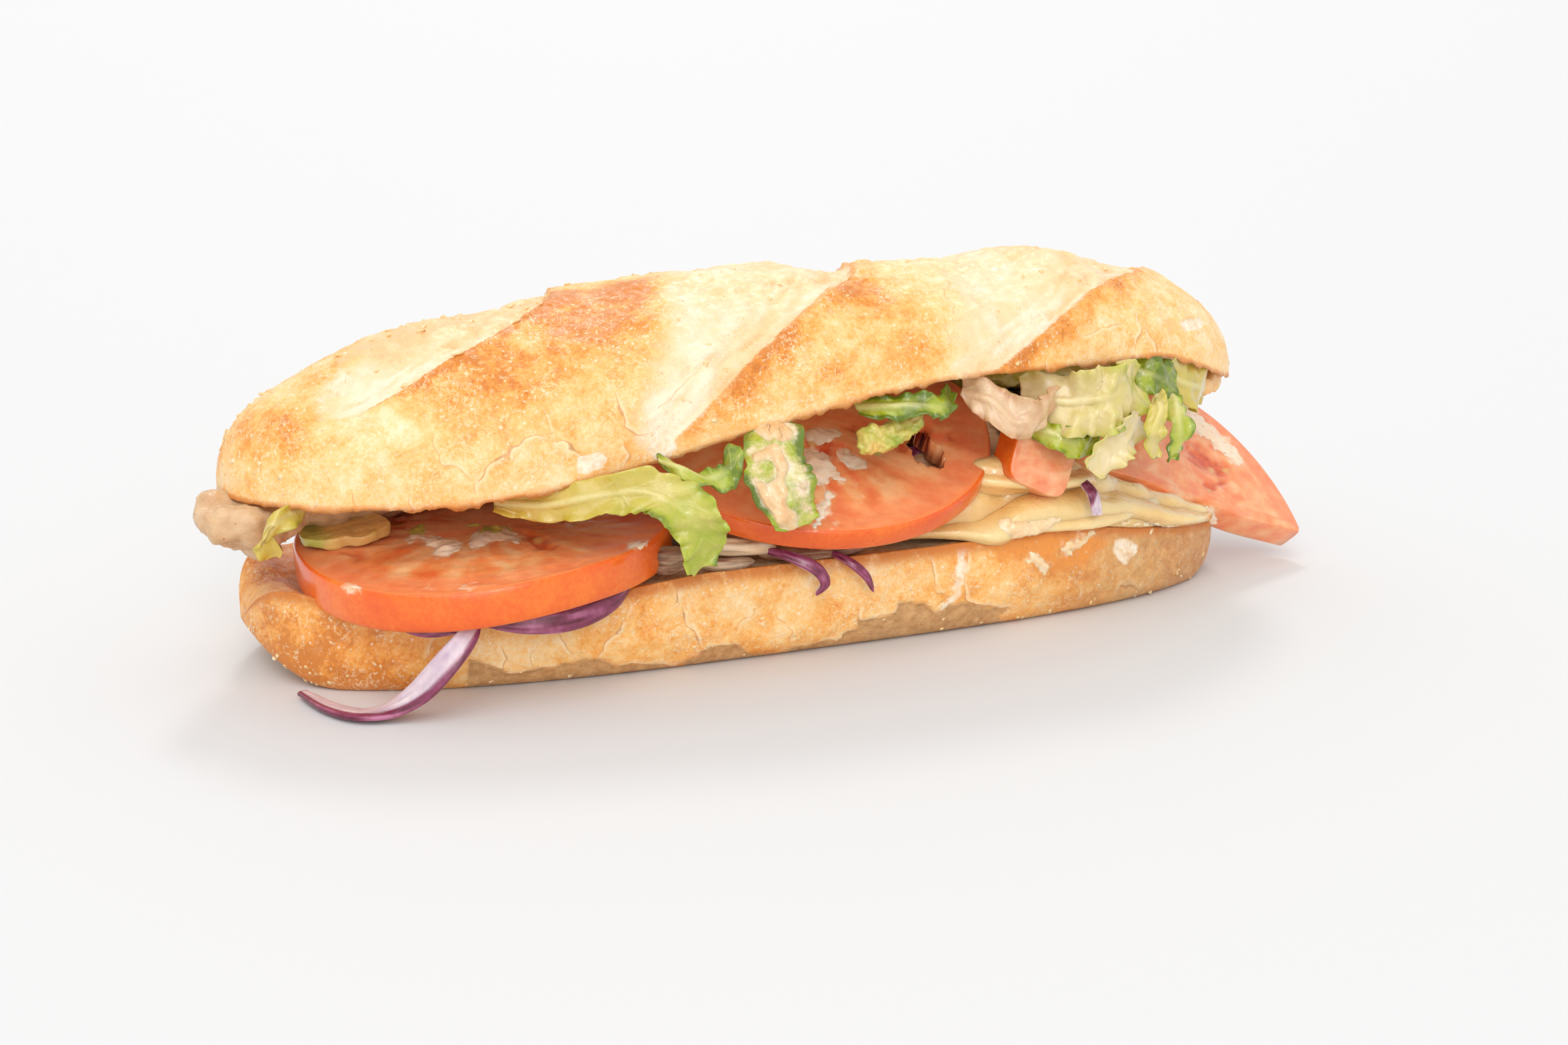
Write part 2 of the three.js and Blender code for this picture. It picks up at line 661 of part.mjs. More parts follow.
// Leaf strips that show at the front, from left to right, then at the back.
function leafStrips() {
  return {
    lettuce_left_end: leafStrip({
      path: [V(-94, -16, 33), V(-99.7, -20, 32.4), V(-102, -20.6, 30), V(-100, -19, 26)],
      sides: [V(0, 0.5, 1), V(0.3, 0.2, 1), V(1, -0.4, 0.2)],
      width: 5,
      columns: 9,
    }),
    lettuce_hanging: leafStrip({
      path: [
        V(-62, -26, 33.4),
        V(-54.5, -32, 34.2),
        V(-47, -36.5, 35.6),
        V(-40.5, -40.5, 37),
        V(-35.4, -43.4, 36),
        V(-32.4, -45, 32.4),
        V(-29.6, -45, 27.8),
        V(-29.6, -44, 22.8),
      ],
      sides: [V(0.2, 0.5, 0.9), V(0.3, 0.1, 1), V(0.9, 0.1, 0.5), V(1, -0.1, 0.2), V(1, 0, 0.3)],
      width: 11,
      start: 0.6,
      ruffle: 1.2,
      waves: 3,
      cup: 0.8,
      columns: 16,
    }),
    lettuce_curled: leafStrip({
      path: [
        V(-34.5, -35, 41),
        V(-32, -40, 39.6),
        V(-27, -42, 37.6),
        V(-23.6, -42, 39.3),
        V(-21.2, -38.5, 43),
      ],
      sides: [V(0.1, 1, 0.5), V(0, 1, 0.5), V(-0.3, 0.8, 0.6), V(-0.6, 0.7, 0.2)],
      width: 5.5,
      ruffle: 0.6,
    }),
    lettuce_dressed: leafStrip({
      path: [
        V(-12, -34, 45),
        V(-15, -41.8, 41.3),
        V(-15.2, -44.3, 37.4),
        V(-13.3, -46, 33.3),
        V(-12.6, -46.5, 29.3),
      ],
      sides: [V(1, 0, 0.05), V(1, -0.1, 0.1), V(1, 0, 0.2)],
      width: 10.5,
      start: 1.5,
      ruffle: 0.9,
      waves: 2,
    }),
    lettuce_dark: leafStrip({
      path: [
        V(7, -30, 45.6),
        V(12.6, -35, 46.8),
        V(18, -36.4, 46.8),
        V(22, -36.4, 46.6),
        V(26, -31.5, 48.4),
      ],
      sides: [V(0, 0.9, 0.7), V(0.1, 0.7, 0.8), V(-0.2, 0.6, 0.8)],
      width: 5.5,
      ruffle: 0.7,
    }),
    lettuce_translucent: leafStrip({
      path: [V(29, -30, 48.4), V(31.8, -36, 46.4), V(36.3, -38, 43.3), V(41, -38, 43), V(46, -34, 46.2)],
      sides: [V(0.4, 0.5, 0.9), V(0.4, 0.2, 0.9), V(0.2, 0.1, 1)],
      width: 8,
      ruffle: 0.9,
    }),
    lettuce_pale: leafStrip({
      path: [V(43, -28, 45), V(48.5, -36, 44.6), V(54, -39, 45.2), V(60, -38, 46), V(67, -32, 47)],
      sides: [V(0.3, 0.3, 1), V(0.1, 0.25, 1), V(-0.1, 0.2, 1)],
      width: 13,
      ruffle: 1.4,
      waves: 2,
      cup: 1,
      columns: 12,
      rows: 4,
    }),
    lettuce_wedge: leafStrip({
      path: [V(41, -32.5, 41), V(45, -37.4, 39), V(49.4, -38.8, 36.8), V(56, -36.4, 37)],
      sides: [V(0.2, 0.5, 1), V(0.3, 0.3, 1)],
      width: 5.5,
      ruffle: 0.6,
      columns: 8,
    }),
    lettuce_rib: leafStrip({
      path: [V(65, -36, 40.4), V(60, -40, 38.2), V(55.4, -41.4, 35.6), V(51.4, -41, 32.2)],
      sides: [V(0.5, 0.2, -0.8), V(0.6, 0, -0.8), V(0.75, 0, -0.6)],
      width: 7.5,
      ruffle: 0.7,
      cup: 0.8,
      columns: 8,
    }),
    lettuce_yellow: leafStrip({
      path: [V(71, -33.5, 44.4), V(67, -39.4, 42.4), V(65, -41.4, 38.6), V(66.4, -41, 33.4)],
      sides: [V(1, 0.1, 0.3), V(1, -0.2, 0.2), V(0.9, 0.4, 0)],
      width: 4.6,
      ruffle: 0.9,
      waves: 3,
    }),
    lettuce_green_edge: leafStrip({
      path: [V(75, -31, 43), V(73.6, -37, 40.4), V(73, -39.2, 36.6), V(71.2, -38.6, 32)],
      sides: [V(1, 0.1, 0.1), V(1, 0.1, 0.1)],
      width: 5.4,
      ruffle: 0.8,
      columns: 9,
    }),
    lettuce_tucked: leafStrip({
      path: [V(65, -24, 49), V(68.8, -29, 48.8), V(72.4, -31.4, 47.6), V(75, -29.5, 46)],
      sides: [V(0, 1, 0.4), V(0, 1, 0.5), V(0.4, 0.8, 0.3)],
      width: 5,
      ruffle: 0.5,
      columns: 7,
    }),
    lettuce_right_end: leafStrip({
      path: [V(77, -27, 46), V(82, -26.4, 43.4), V(87, -23, 40.6), V(92, -18, 40.4), V(94, -10, 42)],
      sides: [V(0.2, 0.2, 1), V(0.3, 0.2, 1), V(0.1, 0.3, 1)],
      width: 6,
      ruffle: 1,
    }),
    lettuce_back_left: leafStrip({
      path: [V(-72, 27, 27.4), V(-66, 35, 28), V(-55, 39.5, 27), V(-45, 38, 24.2)],
      sides: [V(0, 0.3, 1), V(0, 0.5, 1), V(0.1, 0.4, 1)],
      width: 8,
      ruffle: 1.1,
    }),
    lettuce_back_folded: leafStrip({
      path: [V(-39, 30, 28.6), V(-35, 37.6, 29.4), V(-28, 40.4, 27), V(-24, 39.4, 21.4)],
      sides: [V(0.2, 0.4, 1), V(0.5, 0.2, 0.8), V(1, 0.1, 0.2)],
      width: 8.4,
      ruffle: 1,
      columns: 9,
    }),
    lettuce_back_middle: leafStrip({
      path: [V(4, 37.4, 31.6), V(8, 39.6, 30), V(13, 40.6, 26.8), V(15, 40, 21.8)],
      sides: [V(0.6, 0.1, 0.8), V(1, -0.2, 0.3), V(1, 0, 0.2)],
      width: 10,
      ruffle: 1.2,
      columns: 9,
    }),
    lettuce_back_long: leafStrip({
      path: [V(23, 37, 33.4), V(33, 38.4, 34.6), V(43, 38.6, 33.6), V(51, 38, 29.4)],
      sides: [V(-0.2, 0.2, 1), V(0, 0.3, 1), V(0.4, 0.2, 1)],
      width: 7,
      ruffle: 1.1,
      columns: 9,
    }),
    lettuce_back_right: leafStrip({
      path: [V(85, 24, 35), V(78, 32.5, 34.4), V(67, 37, 34.4), V(57, 37.6, 36)],
      sides: [V(0, 0.3, 1), V(0, 0, 1), V(0, 0.4, 1)],
      width: 8,
      ruffle: 1.1,
    }),
    lettuce_back_fringe: leafStrip({
      path: [V(66, 31, 30), V(70, 35.6, 28.4), V(73, 36.6, 24.6), V(73, 35.4, 20)],
      sides: [V(1, 0.1, 0.4), V(1, 0, 0.2), V(1, -0.2, 0)],
      width: 8.6,
      ruffle: 1,
      columns: 9,
    }),
  };
}

// Onion strips. The long one hangs over the front edge and curls on the ground.
function onionStrips() {
  return {
    onion_long: onionStrip({
      path: [
        V(-68.5, -36.4, 16.4),
        V(-71.5, -40, 14.4),
        V(-75.8, -41, 10.2),
        V(-80.6, -39.4, 4.8),
        V(-85.2, -37.6, 1.8),
        V(-89.6, -36, 1.2),
        V(-93.5, -31, 1.1),
        V(-97, -20.5, 1.2),
      ],
      sides: [
        V(-0.5, 0.3, 0.8),
        V(-0.7, 0.4, 0.4),
        V(-0.4, 0.8, 0.3),
        V(0, 1, 0.05),
        V(0.8, 0.6, 0),
        V(1, 0.3, 0),
      ],
      height: 5.4,
      segments: 16,
      blunt: 0.25,
    }),
    onion_slice: onionStrip({
      path: [
        V(-67, -36.2, 15),
        V(-60, -39.4, 15),
        V(-52, -39.8, 15.3),
        V(-44.5, -37.6, 16.8),
        V(-39.6, -34, 18.9),
      ],
      sides: [V(0, 0.25, 1)],
      height: 4.6,
      wall: 2,
      segments: 10,
    }),
    onion_sliver: onionStrip({
      path: [V(-83, -34, 16), V(-79, -37.4, 15.2), V(-75, -38.2, 15.1), V(-70, -38.4, 15.5)],
      sides: [V(0, 0.3, 1)],
      height: 2,
      segments: 5,
    }),
    onion_curled: onionStrip({
      path: [
        V(-13.5, -30, 21),
        V(-9, -36, 20.4),
        V(-4.6, -38.2, 18),
        V(-3, -38, 15.1),
        V(-4.8, -37.8, 13.2),
      ],
      sides: [V(0.1, 0.4, 1), V(0.5, 0.3, 0.9), V(1, 0, 0.1), V(0.5, 0.2, -0.9)],
      height: 3,
      segments: 10,
    }),
    onion_thin: onionStrip({
      path: [V(-1.5, -31, 20.4), V(2.6, -36.6, 18.4), V(5.6, -37.8, 15.6), V(7.2, -37.6, 12.4)],
      sides: [V(0.3, 0.4, 1), V(0.8, 0.2, 0.6)],
      height: 2.6,
      wall: 1.2,
      segments: 8,
    }),
    onion_short: onionStrip({
      path: [V(54.8, -33, 28), V(55.4, -35.8, 26), V(56.3, -36.4, 21.8)],
      sides: [V(1, 0, 0)],
      height: 2.4,
      wall: 1.2,
      segments: 6,
    }),
    onion_inner: onionStrip({
      path: [V(17, -16.4, 32), V(24, -15.6, 32.4), V(31, -15.2, 32.2)],
      sides: [V(0, 0.5, 1)],
      height: 2.6,
      segments: 6,
    }),
    onion_back: onionStrip({
      path: [V(-38, 31, 22), V(-30, 37, 20.6), V(-20, 38.6, 19.6), V(-10, 37, 20.6)],
      sides: [V(0, 0.3, 1), V(0, 0, 1)],
      height: 4.6,
      segments: 10,
    }),
  };
}

// A soft slice of avocado on the left slice, and mash on the drooping one.
function avocadoPieces() {
  return {
    avocado_slice: wafer({
      outline: (a) => 7.8 * (1 + 0.24 * Math.cos(2 * a) + 0.06 * Math.cos(3 * a + 1)),
      thickness: 2.4,
      rimBulge: 0.4,
      segments: 16,
      shares: [],
      place: (x, y, h) =>
        V(-85, -6, 26)
          .addScaledVector(V(0.95, -0.3, 0.05).normalize(), x * 0.8)
          .addScaledVector(V(0.3, 0.93, 0.14).normalize(), y)
          .addScaledVector(V(-0.08, -0.12, 1).normalize(), h),
      relief: () => 0,
    }),
    avocado_mash: slab({
      path: [V(5.7, -33.5, 39.6), V(9.8, -34.2, 40.4), V(14.4, -34, 42), V(19, -33.4, 44.4)],
      halfWidth: () => 3.2,
      halfHeight: () => 1.8,
      side: V(0.2, 0.75, 0.62),
      segments: 10,
      around: 8,
      square: 0.9,
      rough: 0.7,
      seed: 6.2,
    }),
  };
}

// Joining and cutting
function asSolid(g) {
  const merged = mergeVertices(g, 1e-4);
  const vertProperties = new Float32Array(merged.attributes.position.array);
  const triVerts = new Uint32Array(merged.index.array);
  return new wasm.Manifold(new wasm.Mesh({ numProp: 3, vertProperties, triVerts }));
}

function asGeometry(solid) {
  const mesh = solid.getMesh();
  const g = new THREE.BufferGeometry();
  const position = new Float32Array(mesh.vertProperties);
  g.setAttribute("position", new THREE.BufferAttribute(position, mesh.numProp));
  g.setIndex(new THREE.BufferAttribute(new Uint32Array(mesh.triVerts), 1));
  return g;
}

// The shape with its surface moved outwards by GAP.
function swollen(g) {
  const copy = g.clone();
  copy.computeVertexNormals();
  const p = copy.attributes.position;
  const n = copy.attributes.normal;
  for (const k of range(p.count)) {
    p.setXYZ(k, p.getX(k) + GAP * n.getX(k), p.getY(k) + GAP * n.getY(k), p.getZ(k) + GAP * n.getZ(k));
  }
  copy.deleteAttribute("normal");
  return copy;
}

// What is left of a piece after others are taken out of it: its largest single body.
function cutAway(g, others) {
  let solid = asSolid(g);
  for (const other of others) solid = solid.subtract(asSolid(other));
  const bodies = solid.decompose();
  bodies.sort((a, b) => b.volume() - a.volume());
  return asGeometry(bodies[0]);
}

// Each piece gives way to the ones before it.
function fitTogether(pieces) {
  const fitted = new Map();
  for (const [name, geometry] of Object.entries(pieces)) {
    geometry.computeBoundingBox();
    const near = [...fitted.values()].filter((other) => {
      const room = other.boundingBox.clone().expandByScalar(GAP);
      return room.intersectsBox(geometry.boundingBox);
    });
    const shape = near.length ? cutAway(geometry, near.map(swollen)) : geometry;
    shape.computeBoundingBox();
    fitted.set(name, shape);
  }
  return fitted;
}

const PALE_LEAVES = ["lettuce_pale", "lettuce_rib", "lettuce_translucent"];

function material(name) {
  const kind = name.startsWith("bun") ? "crust" : name.split("_")[0];
  const [color, roughness] = COLOURS[PALE_LEAVES.includes(name) ? "lettucePale" : kind];
  return new THREE.MeshStandardMaterial({ color, roughness, metalness: 0 });
}

function sandwich() {
  const pieces = {
    bun_bottom: lowerHalf(),
    bun_top: upperHalf(),
    tomato_front: frontSlice(),
    tomato_drooping: droopingSlice(),
    tomato_leaning: leaningSlice(),
    tomato_wedge: tomatoWedge(),
    ...chickenPieces(),
    ...cheesePieces(),
    ...avocadoPieces(),
    ...onionStrips(),
    ...leafStrips(),
    lettuce_bed: lettuceBed(),
  };
  const group = new THREE.Group();
  for (const [name, geometry] of fitTogether(pieces)) {
    geometry.computeVertexNormals();
    const mesh = new THREE.Mesh(geometry, material(name));
    mesh.name = name;
    group.add(mesh);
  }
  return group;
}

export default sandwich();
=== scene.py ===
"""A filled sub roll: crusty bread halves with tomato, lettuce, onion, cheese, chicken and sauce.

Shapes are worked out in millimetres with Z up and X along the roll, and built in metres.
"""

import math

import bpy
import numpy as np
from mathutils import Matrix, Vector


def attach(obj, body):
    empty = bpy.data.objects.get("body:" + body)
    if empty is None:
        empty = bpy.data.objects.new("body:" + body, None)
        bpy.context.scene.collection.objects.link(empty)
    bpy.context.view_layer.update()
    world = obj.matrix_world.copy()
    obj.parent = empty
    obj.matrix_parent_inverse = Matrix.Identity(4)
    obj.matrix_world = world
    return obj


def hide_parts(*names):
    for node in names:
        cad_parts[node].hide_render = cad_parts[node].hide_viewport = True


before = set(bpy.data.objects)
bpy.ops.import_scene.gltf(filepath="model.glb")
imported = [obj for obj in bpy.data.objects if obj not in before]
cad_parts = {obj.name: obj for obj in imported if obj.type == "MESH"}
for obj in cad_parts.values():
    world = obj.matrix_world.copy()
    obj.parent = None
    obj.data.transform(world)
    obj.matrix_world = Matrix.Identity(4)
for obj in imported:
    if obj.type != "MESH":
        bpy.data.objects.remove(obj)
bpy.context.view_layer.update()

MM = 0.001
TAU = 2 * math.pi

# The photo's camera, in the roll's own frame
PICTURE = (2352, 1568)
FOCAL = 3267
PIXELS_PER_MM = 7.5
EYE = np.array([-165.4, -388.3, 132.3])
AHEAD = np.array([0.38839, 0.88304, -0.26344])
RIGHT = np.array([0.91602, -0.40107, 0.00612])
UP = np.array([0.10026, 0.24369, 0.96466])


# Small maths
def mix(a, b, t):
    return a + (b - a) * t


def ease(a, b, v):
    t = np.clip((np.asarray(v, float) - a) / (b - a), 0, 1)
    return t * t * (3 - 2 * t)


def fade(u, share):
    """0 at both ends of 0..1 and 1 between, where share is the length of each slope."""
    return ease(0, share, u) * ease(1, 1 - share, u)


def unit(v):
    v = np.asarray(v, float)
    return v / np.maximum(np.linalg.norm(v, axis=-1, keepdims=True), 1e-9)


def given(value, *where):
    """A value that may be given as a function of the place."""
    return value(*where) if callable(value) else value


def grid(*parts):
    """Points or places from their coordinates."""
    return np.stack(np.broadcast_arrays(*parts), -1)


def powered(v, power):
    return np.sign(v) * np.abs(v) ** power


def circle(count):
    return np.arange(count) / count * TAU


def lumps(points, size, seed):
    """A smooth uneven value in about -1..1, for lumps of one size."""
    a, b, c = np.moveaxis(points / size, -1, 0)
    return (
        np.sin(a * 1.7 + seed) * np.cos(b * 1.3 - seed * 0.7)
        + np.sin(b * 2.1 + c * 1.1 + seed * 1.9)
        + np.sin(a * 0.9 - c * 1.9 + b * 0.6 + seed * 2.3)
    ) / 2.6


def scatter(cells, seed):
    """An even pseudo-random value in 0..1 for whole-number cells (..., 3)."""
    c = cells.astype(np.int64)
    h = c[..., 0] * 374761393 + c[..., 1] * 668265263 + c[..., 2] * 2147483647 + seed * 1274126177
    h &= 0xFFFFFFFF
    h = ((h ^ (h >> 13)) * 1274126177) & 0xFFFFFFFF
    h = ((h ^ (h >> 16)) * 668265263) & 0xFFFFFFFF
    return (h >> 8 & 0xFFFF) / 65535.0


def noise(points, size, seed):
    """Smooth noise in -1..1 with one cell per size millimetres."""
    q = np.asarray(points, float) / size
    cell = np.floor(q)
    f = q - cell
    f = f * f * (3 - 2 * f)
    total = 0
    for corner in np.ndindex(2, 2, 2):
        x, y, z = (f[..., axis] if far else 1 - f[..., axis] for axis, far in enumerate(corner))
        total = total + x * y * z * scatter(cell + np.array(corner), seed)
    return 2 * total - 1


def layers(points, size, count, seed):
    """Noise in several sizes, each half the one before."""
    return sum(noise(points, size / 2**k, seed + 7 * k) * 0.55**k for k in range(count))


def limited(points, size, count, seed):
    return np.clip(layers(points, size, count, seed), -1, 1)


def flat_noise(u, v, size, seed):
    return noise(grid(u, v, 0.5), size, seed)


def wander(points, size, seed, second_size=None):
    """Two noises that make an outline in the picture ragged."""
    return grid(noise(points, size, seed), noise(points, second_size or size, seed + 1))


def curve(points, t):
    """Points on a smooth centripetal curve through the given ones, at shares t of its spans."""
    p = np.asarray(points, float)
    p = np.concatenate([[2 * p[0] - p[1]], p, [2 * p[-1] - p[-2]]])
    spans = len(p) - 3
    place = np.clip(np.asarray(t, float), 0, 1) * spans
    k = np.minimum(place.astype(int), spans - 1)
    w = (place - k)[..., None]
    p0, p1, p2, p3 = (p[k + i] for i in range(4))
    s0, s1, s2 = (np.maximum(np.linalg.norm(b - a, axis=-1, keepdims=True), 1e-6) ** 0.5
                  for a, b in ((p0, p1), (p1, p2), (p2, p3)))
    start = ((p1 - p0) / s0 - (p2 - p0) / (s0 + s1) + (p2 - p1) / s1) * s1
    stop = ((p2 - p1) / s1 - (p3 - p1) / (s1 + s2) + (p3 - p2) / s2) * s1
    return p1 + start * w + (-3 * p1 + 3 * p2 - 2 * start - stop) * w**2 + (2 * p1 - 2 * p2 + start + stop) * w**3


def heading(points, t):
    lo, hi = np.clip(t - 1e-4, 0, 1), np.clip(t + 1e-4, 0, 1)
    return unit(curve(points, hi) - curve(points, lo))


def ribbon(path, sides, t):
    """The middle line, the direction across and the direction out of a strip along a path."""
    sides = sides if len(sides) > 1 else [sides[0], sides[0]]
    side = unit(curve(sides, t))[:, None, :]
    return curve(path, t)[:, None, :], side, unit(np.cross(heading(path, t)[:, None, :], side))


def seen(points):
    """Where points lie in the picture, in pixels."""
    d = points - EYE
    depth = d @ AHEAD
    return grid(PICTURE[0] / 2 + FOCAL * (d @ RIGHT) / depth, PICTURE[1] / 2 - FOCAL * (d @ UP) / depth)


def to_line(places, line):
    """Signed distance of 2-D places from a polyline, and the share of its length reached."""
    line = np.asarray(line, float)
    lengths = np.hypot(*np.diff(line, axis=0).T)
    best = np.full(places.shape[:-1], 1e9)
    share = np.zeros_like(best)
    start = 0.0
    for a, b, length in zip(line, line[1:], lengths):
        d = (b - a) / length
        r = places - a
        along = np.clip(r @ d, 0, length)
        gap = r - along[..., None] * d
        side = np.where(r[..., 0] * d[1] - r[..., 1] * d[0] > 0, 1, -1)
        dist = np.hypot(gap[..., 0], gap[..., 1])
        closer = dist < np.abs(best)
        best = np.where(closer, side * dist, best)
        share = np.where(closer, (start + along) / lengths.sum(), share)
        start += length
    return best, share


def inside(places, outline):
    """Signed distance of 2-D places into a closed outline: above 0 inside."""
    ring = np.asarray([*outline, outline[0]], float)
    dist = np.abs(to_line(places, ring)[0])
    odd = np.zeros(places.shape[:-1], bool)
    for (ax, ay), (bx, by) in zip(ring, ring[1:]):
        crosses = (ay > places[..., 1]) != (by > places[..., 1])
        if by != ay:
            x = ax + (places[..., 1] - ay) * (bx - ax) / (by - ay)
            odd ^= crosses & (places[..., 0] < x)
    return np.where(odd, dist, -dist)


def deepest(places, outlines):
    return np.max([inside(places, outline) for outline in outlines], 0)


def covered(places, outlines, low, high):
    """Sum of what each outline covers, with a soft edge from low to high."""
    return sum((ease(low, high, inside(places, outline)) for outline in outlines), np.zeros(places.shape[:-1]))


# Shapes
class Shape:
    """Points, faces of four or three corners, and named values at the points."""

    def __init__(self, points, quads, tris=(), **marks):
        self.points = np.asarray(points, float)
        self.quads = np.asarray(quads, int).reshape(-1, 4)
        self.tris = np.asarray(tris, int).reshape(-1, 3)
        self.marks = marks
        if self.volume() < 0:
            self.quads, self.tris = self.quads[:, ::-1], self.tris[:, ::-1]

    def triangles(self):
        return np.concatenate([self.quads[:, [0, 1, 2]], self.quads[:, [0, 2, 3]], self.tris])

    def volume(self):
        a, b, c = (self.points[self.triangles()[:, k]] for k in range(3))
        return np.einsum("ij,ij->", a, np.cross(b, c)) / 6

    def normals(self):
        t = self.triangles()
        a, b, c = (self.points[t[:, k]] for k in range(3))
        n = np.cross(b - a, c - a)
        return unit(grid(*[np.bincount(t.ravel(), np.repeat(n[:, k], 3), len(self.points)) for k in range(3)]))

    def facing(self):
        """How much each point faces the picture, -1..1."""
        return (self.normals() * unit(EYE - self.points)).sum(-1)

    def push(self, height):
        """Moves each point along its normal."""
        self.points = self.points + self.normals() * np.asarray(height)[..., None]
        return self

    def mark(self, **marks):
        """Names values at the points. A single number holds for all of them."""
        self.marks.update({k: np.broadcast_to(v, len(self.points)) for k, v in marks.items()})
        return self


def spread(values):
    """Values on the rings of a loft, with a mean one for each tip."""
    return np.concatenate([values.ravel(), [values[0].mean(), values[-1].mean()]])


def loft(rings, first, last, **marks):
    """Rings of equally many points closed by a tip at each end."""
    count, around = rings.shape[:2]
    at = np.arange(count * around).reshape(count, around)
    after = np.roll(at, -1, 1)
    tips = np.full(around, count * around)
    return Shape(
        np.concatenate([rings.reshape(-1, 3), [first, last]]),
        np.stack([at[:-1], after[:-1], after[1:], at[1:]], -1),
        np.concatenate([np.stack([tips, after[0], at[0]], -1), np.stack([tips + 1, at[-1], after[-1]], -1)]),
        **{k: spread(np.broadcast_to(v, (count, around))) for k, v in marks.items()},
    )


def sheet(surface, thickness, **marks):
    """A thin solid on both sides of a grid of points, whose edge closes to a rounded rim."""
    normal = unit(np.cross(np.gradient(surface, axis=0), np.gradient(surface, axis=1)))
    half = 0.5 * thickness * normal
    n, m = surface.shape[:2]
    top = np.arange(n * m).reshape(n, m)
    low = top + n * m
    faces = [np.stack([g[:-1, :-1], g[1:, :-1], g[1:, 1:], g[:-1, 1:]], -1).reshape(-1, 4)
             for g in (top, low[:, ::-1])]
    rim = np.concatenate([top[:-1, 0], top[-1, :-1], top[:0:-1, -1], top[0, :0:-1]])
    after = np.roll(rim, -1)
    wall = np.stack([after, rim, rim + n * m, after + n * m], -1)
    points = np.concatenate([(surface + half).reshape(-1, 3), (surface - half).reshape(-1, 3)])
    both = {k: np.tile(np.broadcast_to(v, (n, m)).ravel(), 2) for k, v in marks.items()}
    return Shape(points, np.concatenate([*faces, wall]), **both)


def open_edges(edges, base):
    """Those of many directed edges that have no opposite one."""
    return edges[~np.isin(edges[:, 0] * base + edges[:, 1], edges[:, 1] * base + edges[:, 0])]


def patch(host, height):
    """A closed shell on part of a host shape: height above 0 shows, and its edges dip under."""
    sink, lowest = 0.35, -0.25
    height = np.maximum(height, lowest)
    normals = host.normals()
    faces = host.triangles()
    faces = faces[(height[faces] > lowest + 0.02).any(1)]
    used, faces = np.unique(faces, return_inverse=True)
    faces = faces.reshape(-1, 3)
    n = len(used)
    top = host.points[used] + normals[used] * height[used, None]
    low = host.points[used] - normals[used] * sink
    rim = open_edges(np.concatenate([faces[:, [0, 1]], faces[:, [1, 2]], faces[:, [2, 0]]]), n + 1)
    walls = np.stack([rim[:, 1], rim[:, 0], rim[:, 0] + n, rim[:, 1] + n], -1)
    return Shape(np.concatenate([top, low]), walls, np.concatenate([faces, faces[:, ::-1] + n]))


def joined(shapes):
    """Several shapes without marks as one."""
    start = np.cumsum([0] + [len(s.points) for s in shapes])
    return Shape(
        np.concatenate([s.points for s in shapes]),
        np.concatenate([s.quads + n for s, n in zip(shapes, start)]),
        np.concatenate([s.tris + n for s, n in zip(shapes, start)]),
    )


def piece(name, shape, material, replaces=()):
    """Makes a shape visible as a piece of the object."""
    mesh = bpy.data.meshes.new(name)
    mesh.vertices.add(len(shape.points))
    mesh.vertices.foreach_set("co", (shape.points * MM).astype(np.float32).ravel())
    corners = np.concatenate([shape.quads.ravel(), shape.tris.ravel()])
    sizes = np.concatenate([np.full(len(shape.quads), 4), np.full(len(shape.tris), 3)])
    mesh.loops.add(len(corners))
    mesh.loops.foreach_set("vertex_index", corners.astype(np.int32))
    mesh.polygons.add(len(sizes))
    mesh.polygons.foreach_set("loop_start", (np.cumsum(sizes) - sizes).astype(np.int32))
    for key, values in shape.marks.items():
        mark = mesh.attributes.new(key, "FLOAT", "POINT")
        mark.data.foreach_set("value", values.astype(np.float32))
    mesh.update(calc_edges=True)
    mesh.validate()
    mesh.shade_smooth()
    mesh.materials.append(material)
    thing = bpy.data.objects.new(name, mesh)
    bpy.context.scene.collection.objects.link(thing)
    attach(thing, "root")
    if replaces:
        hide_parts(*replaces)


# Materials
def linear(colour):
    """A colour in the values that shaders take, from one as it looks on a screen, 0..255."""
    parts = [v / 255 for v in colour]
    return (*[v / 12.92 if v <= 0.04045 else ((v + 0.055) / 1.055) ** 2.4 for v in parts], 1)


class Wire:
    """A node's output, with arithmetic that adds nodes."""

    def __init__(self, paint, socket):
        self.paint, self.socket = paint, socket

    def __add__(self, other):
        return self.paint.maths("ADD", self, other)

    def __sub__(self, other):
        return self.paint.maths("SUBTRACT", self, other)

    def __mul__(self, other):
        return self.paint.maths("MULTIPLY", self, other)

    def __abs__(self):
        return self.paint.maths("ABSOLUTE", self, 0.0)

    def remap(self, low, high, first, last, way="LINEAR"):
        """From first at low to last at high, and constant beyond them."""
        made = self.paint.node("ShaderNodeMapRange", interpolation_type=way)
        names = ("Value", "From Min", "From Max", "To Min", "To Max")
        for name, value in zip(names, (self, low, high, first, last)):
            self.paint.put(made.inputs[name], value)
        return Wire(self.paint, made.outputs["Result"])

    def step(self, low, high):
        """0 below low and 1 above high, with a soft step between. Low may be the higher one."""
        ends = (low, high, 0.0, 1.0) if low < high else (high, low, 1.0, 0.0)
        return self.remap(*ends, "SMOOTHSTEP")


